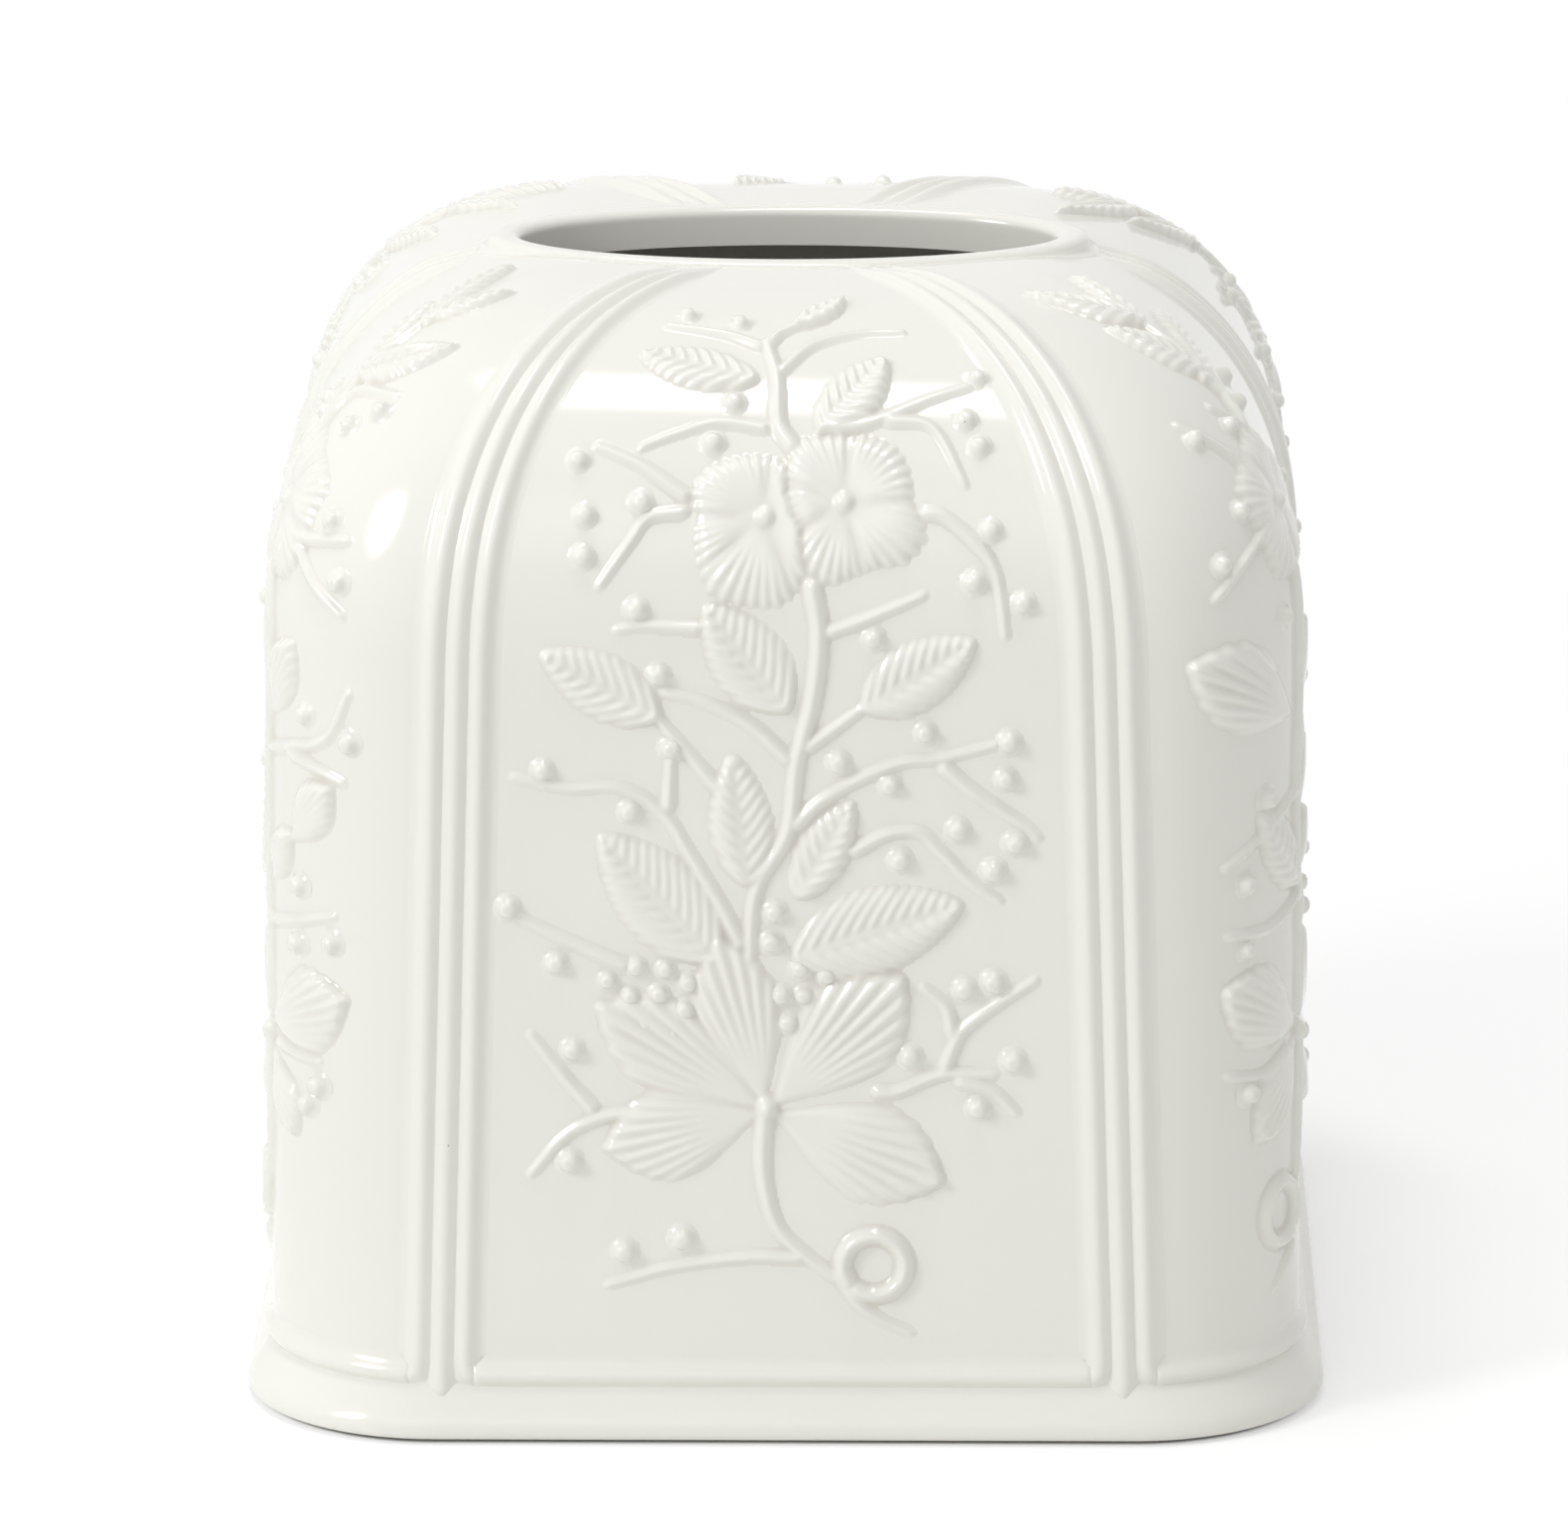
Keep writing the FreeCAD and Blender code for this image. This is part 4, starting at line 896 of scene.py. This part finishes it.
def growBerries(name, panel, berries):
    places = bpy.data.meshes.new(name + "Places")
    places.from_pydata([(*(panel.spot(shares) * mm), berrySize(shares)) for shares in berries], [], [])
    mesh = growMesh(name, berryTree, {**shellInputs, "Berry": berryShape, "Least": berry["sizes"][0],
                                      "Most": berry["sizes"][1], "Seed": berry["seed"]}, places)
    if "place" in mesh.attributes:
        mesh.attributes.remove(mesh.attributes["place"])
    return mesh


def buildSpray(name, panel, spray):
    for shares in spray["berries"]:
        panel.raiseDome("Stems", panel.spot(shares), berry["moundReach"] * berrySize(shares), berry["mound"], 2)
    for kind in ("trunk", "twig"):
        for line in spray[kind + "s"]:
            places = np.array([panel.spot(shares) for shares in line])
            raiseStem(panel, places, stemForm[kind + "Half"], stemForm[kind + "Proud"], stemForm["tipShare"])
    for centre, start, sweep in spray["curls"]:
        swing = np.radians(start + sweep * np.linspace(0, 1, curlForm["points"]))
        places = panel.spot(centre) + curlForm["half"] * np.c_[np.cos(swing), np.sin(swing)]
        raiseStem(panel, places, curlForm["tube"], curlForm["proud"], 1.0)
    for base, tip, widthShare, fan in spray["leaves"]:
        raiseLeaf(panel, base, tip, widthShare, fan)
    for shares in spray["bosses"]:
        panel.raiseDome("Leaves", panel.spot(shares), bossForm["half"], bossForm["rise"], 0.5)
    for centre, margin, gaps in spray["flowers"]:
        raiseFlower(panel, centre, margin, gaps)
    return {**sheetsOf(panel), "Berries": growBerries(name + "Berries", panel, spray["berries"])}


cornerBreadth = (midSide - bead["headHalf"]) / 2
cornerAxis = bead["headHalf"] + cornerSpray["axisShare"] * 2 * cornerBreadth
for axis, breadth, spray, places in ((0.0, bead["headHalf"], frontSpray, twoFaces),
                                     (cornerAxis, cornerBreadth, cornerSpray, rightCorners),
                                     (-cornerAxis, cornerBreadth, cornerSpray, leftCorners)):
    first = list(places)[0]
    for kind, mesh in buildSpray(first, Panel(axis, breadth), spray).items():
        addCopies(kind, mesh, places)
        print(first, kind, "sheet:", len(mesh.polygons), "faces")

for guide in guides:
    bpy.data.objects.remove(guide)


# Whether a ray sees the backdrop itself, straight, in a reflection or through glass
def seenDirectly(tree):
    rays = addNode(tree, "ShaderNodeLightPath").outputs
    seen = addNode(tree, "ShaderNodeMath", {0: rays["Is Camera Ray"], 1: rays["Is Glossy Ray"]},
                   operation="MAXIMUM")
    return addNode(tree, "ShaderNodeMath", {0: seen, 1: rays["Is Transmission Ray"]}, operation="MAXIMUM")


pureWhite = (1.0, 1.0, 1.0, 1.0)
stage = {"floorTone": "F4F4F3", "floorSize": 6.0, "shown": 0.7, "glow": 0.4, "near": 0.13, "far": 0.42,
         "underFoot": 0.0725, "footCorner": 0.0255, "edge": 0.001, "worldLight": 0.55}
bpy.ops.mesh.primitive_plane_add(size=stage["floorSize"])
floor = bpy.context.object
floor.name = "floor"
# White paper: it keeps the soft shadow beside the foot and runs into a plain white backdrop further off
paper = bpy.data.materials.new("whitePaper")
paper.use_nodes = True
tree = paper.node_tree
tree.nodes.remove(tree.nodes["Principled BSDF"])
onFloor = addNode(tree, "ShaderNodeTexCoord").outputs["Object"]
away = addNode(tree, "ShaderNodeVectorMath", {0: onFloor}, operation="LENGTH")
farOff = addNode(tree, "ShaderNodeMapRange", {
    "Value": away.outputs["Value"], "From Min": stage["near"], "From Max": stage["far"]},
    interpolation_type="SMOOTHSTEP")
matte = addNode(tree, "ShaderNodeBsdfDiffuse", {"Color": linear(stage["floorTone"])})
faint = addNode(tree, "ShaderNodeBsdfDiffuse", {"Color": (stage["shown"], stage["shown"], stage["shown"], 1.0)})
# No glow under the cover: the floor there is darker than the edge of the foot
apart = addNode(tree, "ShaderNodeVectorMath", {0: onFloor}, operation="ABSOLUTE")
straight = stage["underFoot"] - stage["footCorner"]
beyond = addNode(tree, "ShaderNodeVectorMath", {0: apart, 1: (straight, straight, 0.0)}, operation="SUBTRACT")
rounded = addNode(tree, "ShaderNodeVectorMath", {0: beyond, 1: (0.0, 0.0, 0.0)}, operation="MAXIMUM")
reach = addNode(tree, "ShaderNodeVectorMath", {0: rounded}, operation="LENGTH")
clear = addNode(tree, "ShaderNodeMapRange", {
    "Value": reach.outputs["Value"], "From Min": stage["footCorner"] - stage["edge"],
    "From Max": stage["footCorner"], "To Max": stage["glow"]})
glow = addNode(tree, "ShaderNodeEmission", {"Color": pureWhite, "Strength": clear})
shadowed = addNode(tree, "ShaderNodeAddShader", {0: faint, 1: glow})
white = addNode(tree, "ShaderNodeEmission", {"Color": pureWhite, "Strength": 1.0})
shown = addNode(tree, "ShaderNodeMixShader", {0: farOff, 1: shadowed, 2: white})
mixed = addNode(tree, "ShaderNodeMixShader", {0: seenDirectly(tree), 1: matte, 2: shown})
tree.links.new(mixed.outputs[0], tree.nodes["Material Output"].inputs["Surface"])
floor.data.materials.append(paper)

world = bpy.data.worlds.new("studio")
scene.world = world
world.use_nodes = True
tree = world.node_tree
backdrop = tree.nodes["Background"]
level = addNode(tree, "ShaderNodeMapRange", {
    "Value": seenDirectly(tree), "To Min": stage["worldLight"], "To Max": 1.0})
backdrop.inputs["Color"].default_value = pureWhite
tree.links.new(level.outputs["Result"], backdrop.inputs["Strength"])

# Each lamp fades towards its edge, as a lit cloth does
lamps = {
    "keyBox": {"at": (-1.105, -0.73, 0.8), "size": (0.6, 0.76), "power": 20.0},
    "overheadBox": {"at": (-0.1, -0.07, 1.25), "size": (1.2, 0.3), "power": 11.8},
    "leftFill": {"at": (-1.6, -0.9, 0.9), "size": (1.6, 1.6), "power": 2.0},
    "frontFill": {"at": (-0.4, -1.7, 1.0), "size": (1.4, 1.4), "power": 5.6},
}
lampCloth = {"full": 0.12, "dark": 0.5, "aim": (0.0, 0.0, 0.08)}
for name, lamp in lamps.items():
    light = bpy.data.lights.new(name, "AREA")
    light.shape, light.energy = "RECTANGLE", lamp["power"]
    light.size, light.size_y = lamp["size"]
    light.use_nodes = True
    tree = light.node_tree
    onCloth = addNode(tree, "ShaderNodeNewGeometry").outputs["Parametric"]
    offset = addNode(tree, "ShaderNodeVectorMath", {0: onCloth, 1: (-0.5, -0.5, 0.0)}, operation="ADD")
    parts = addNode(tree, "ShaderNodeSeparateXYZ", {0: offset}).outputs
    flatOffset = addNode(tree, "ShaderNodeCombineXYZ", {0: parts[0], 1: parts[1]})
    away = addNode(tree, "ShaderNodeVectorMath", {0: flatOffset}, operation="LENGTH")
    fade = addNode(tree, "ShaderNodeMapRange", {
        "Value": away.outputs["Value"], "From Min": lampCloth["full"], "From Max": lampCloth["dark"], "To Min": 1.0,
        "To Max": 0.0}, interpolation_type="SMOOTHSTEP")
    tree.links.new(fade.outputs["Result"], tree.nodes["Emission"].inputs["Strength"])
    box = bpy.data.objects.new(name, light)
    box.location = lamp["at"]
    box.rotation_euler = (Vector(lampCloth["aim"]) - Vector(lamp["at"])).to_track_quat("-Z", "Y").to_euler()
    scene.collection.objects.link(box)

view = {"at": (25.3, -1411.0, 462.6), "towards": (-0.83, 0.0, 74.97), "lens": 241.0, "sensor": 36.0, "roll": -0.178,
        "nearest": 50.0, "furthest": 50000.0}
camera = bpy.data.objects.new("camera", bpy.data.cameras.new("camera"))
camera.data.lens, camera.data.sensor_width = view["lens"], view["sensor"]
camera.data.clip_start, camera.data.clip_end = view["nearest"] * mm, view["furthest"] * mm
camera.location = Vector(view["at"]) * mm
aim = (Vector(view["towards"]) - Vector(view["at"])).to_track_quat("-Z", "Y")
camera.rotation_euler = (aim.to_matrix() @ Matrix.Rotation(math.radians(view["roll"]), 3, "Z")).to_euler()
scene.collection.objects.link(camera)
scene.camera = camera
scene.view_settings.view_transform = "Standard"
print("floor, light and camera set")
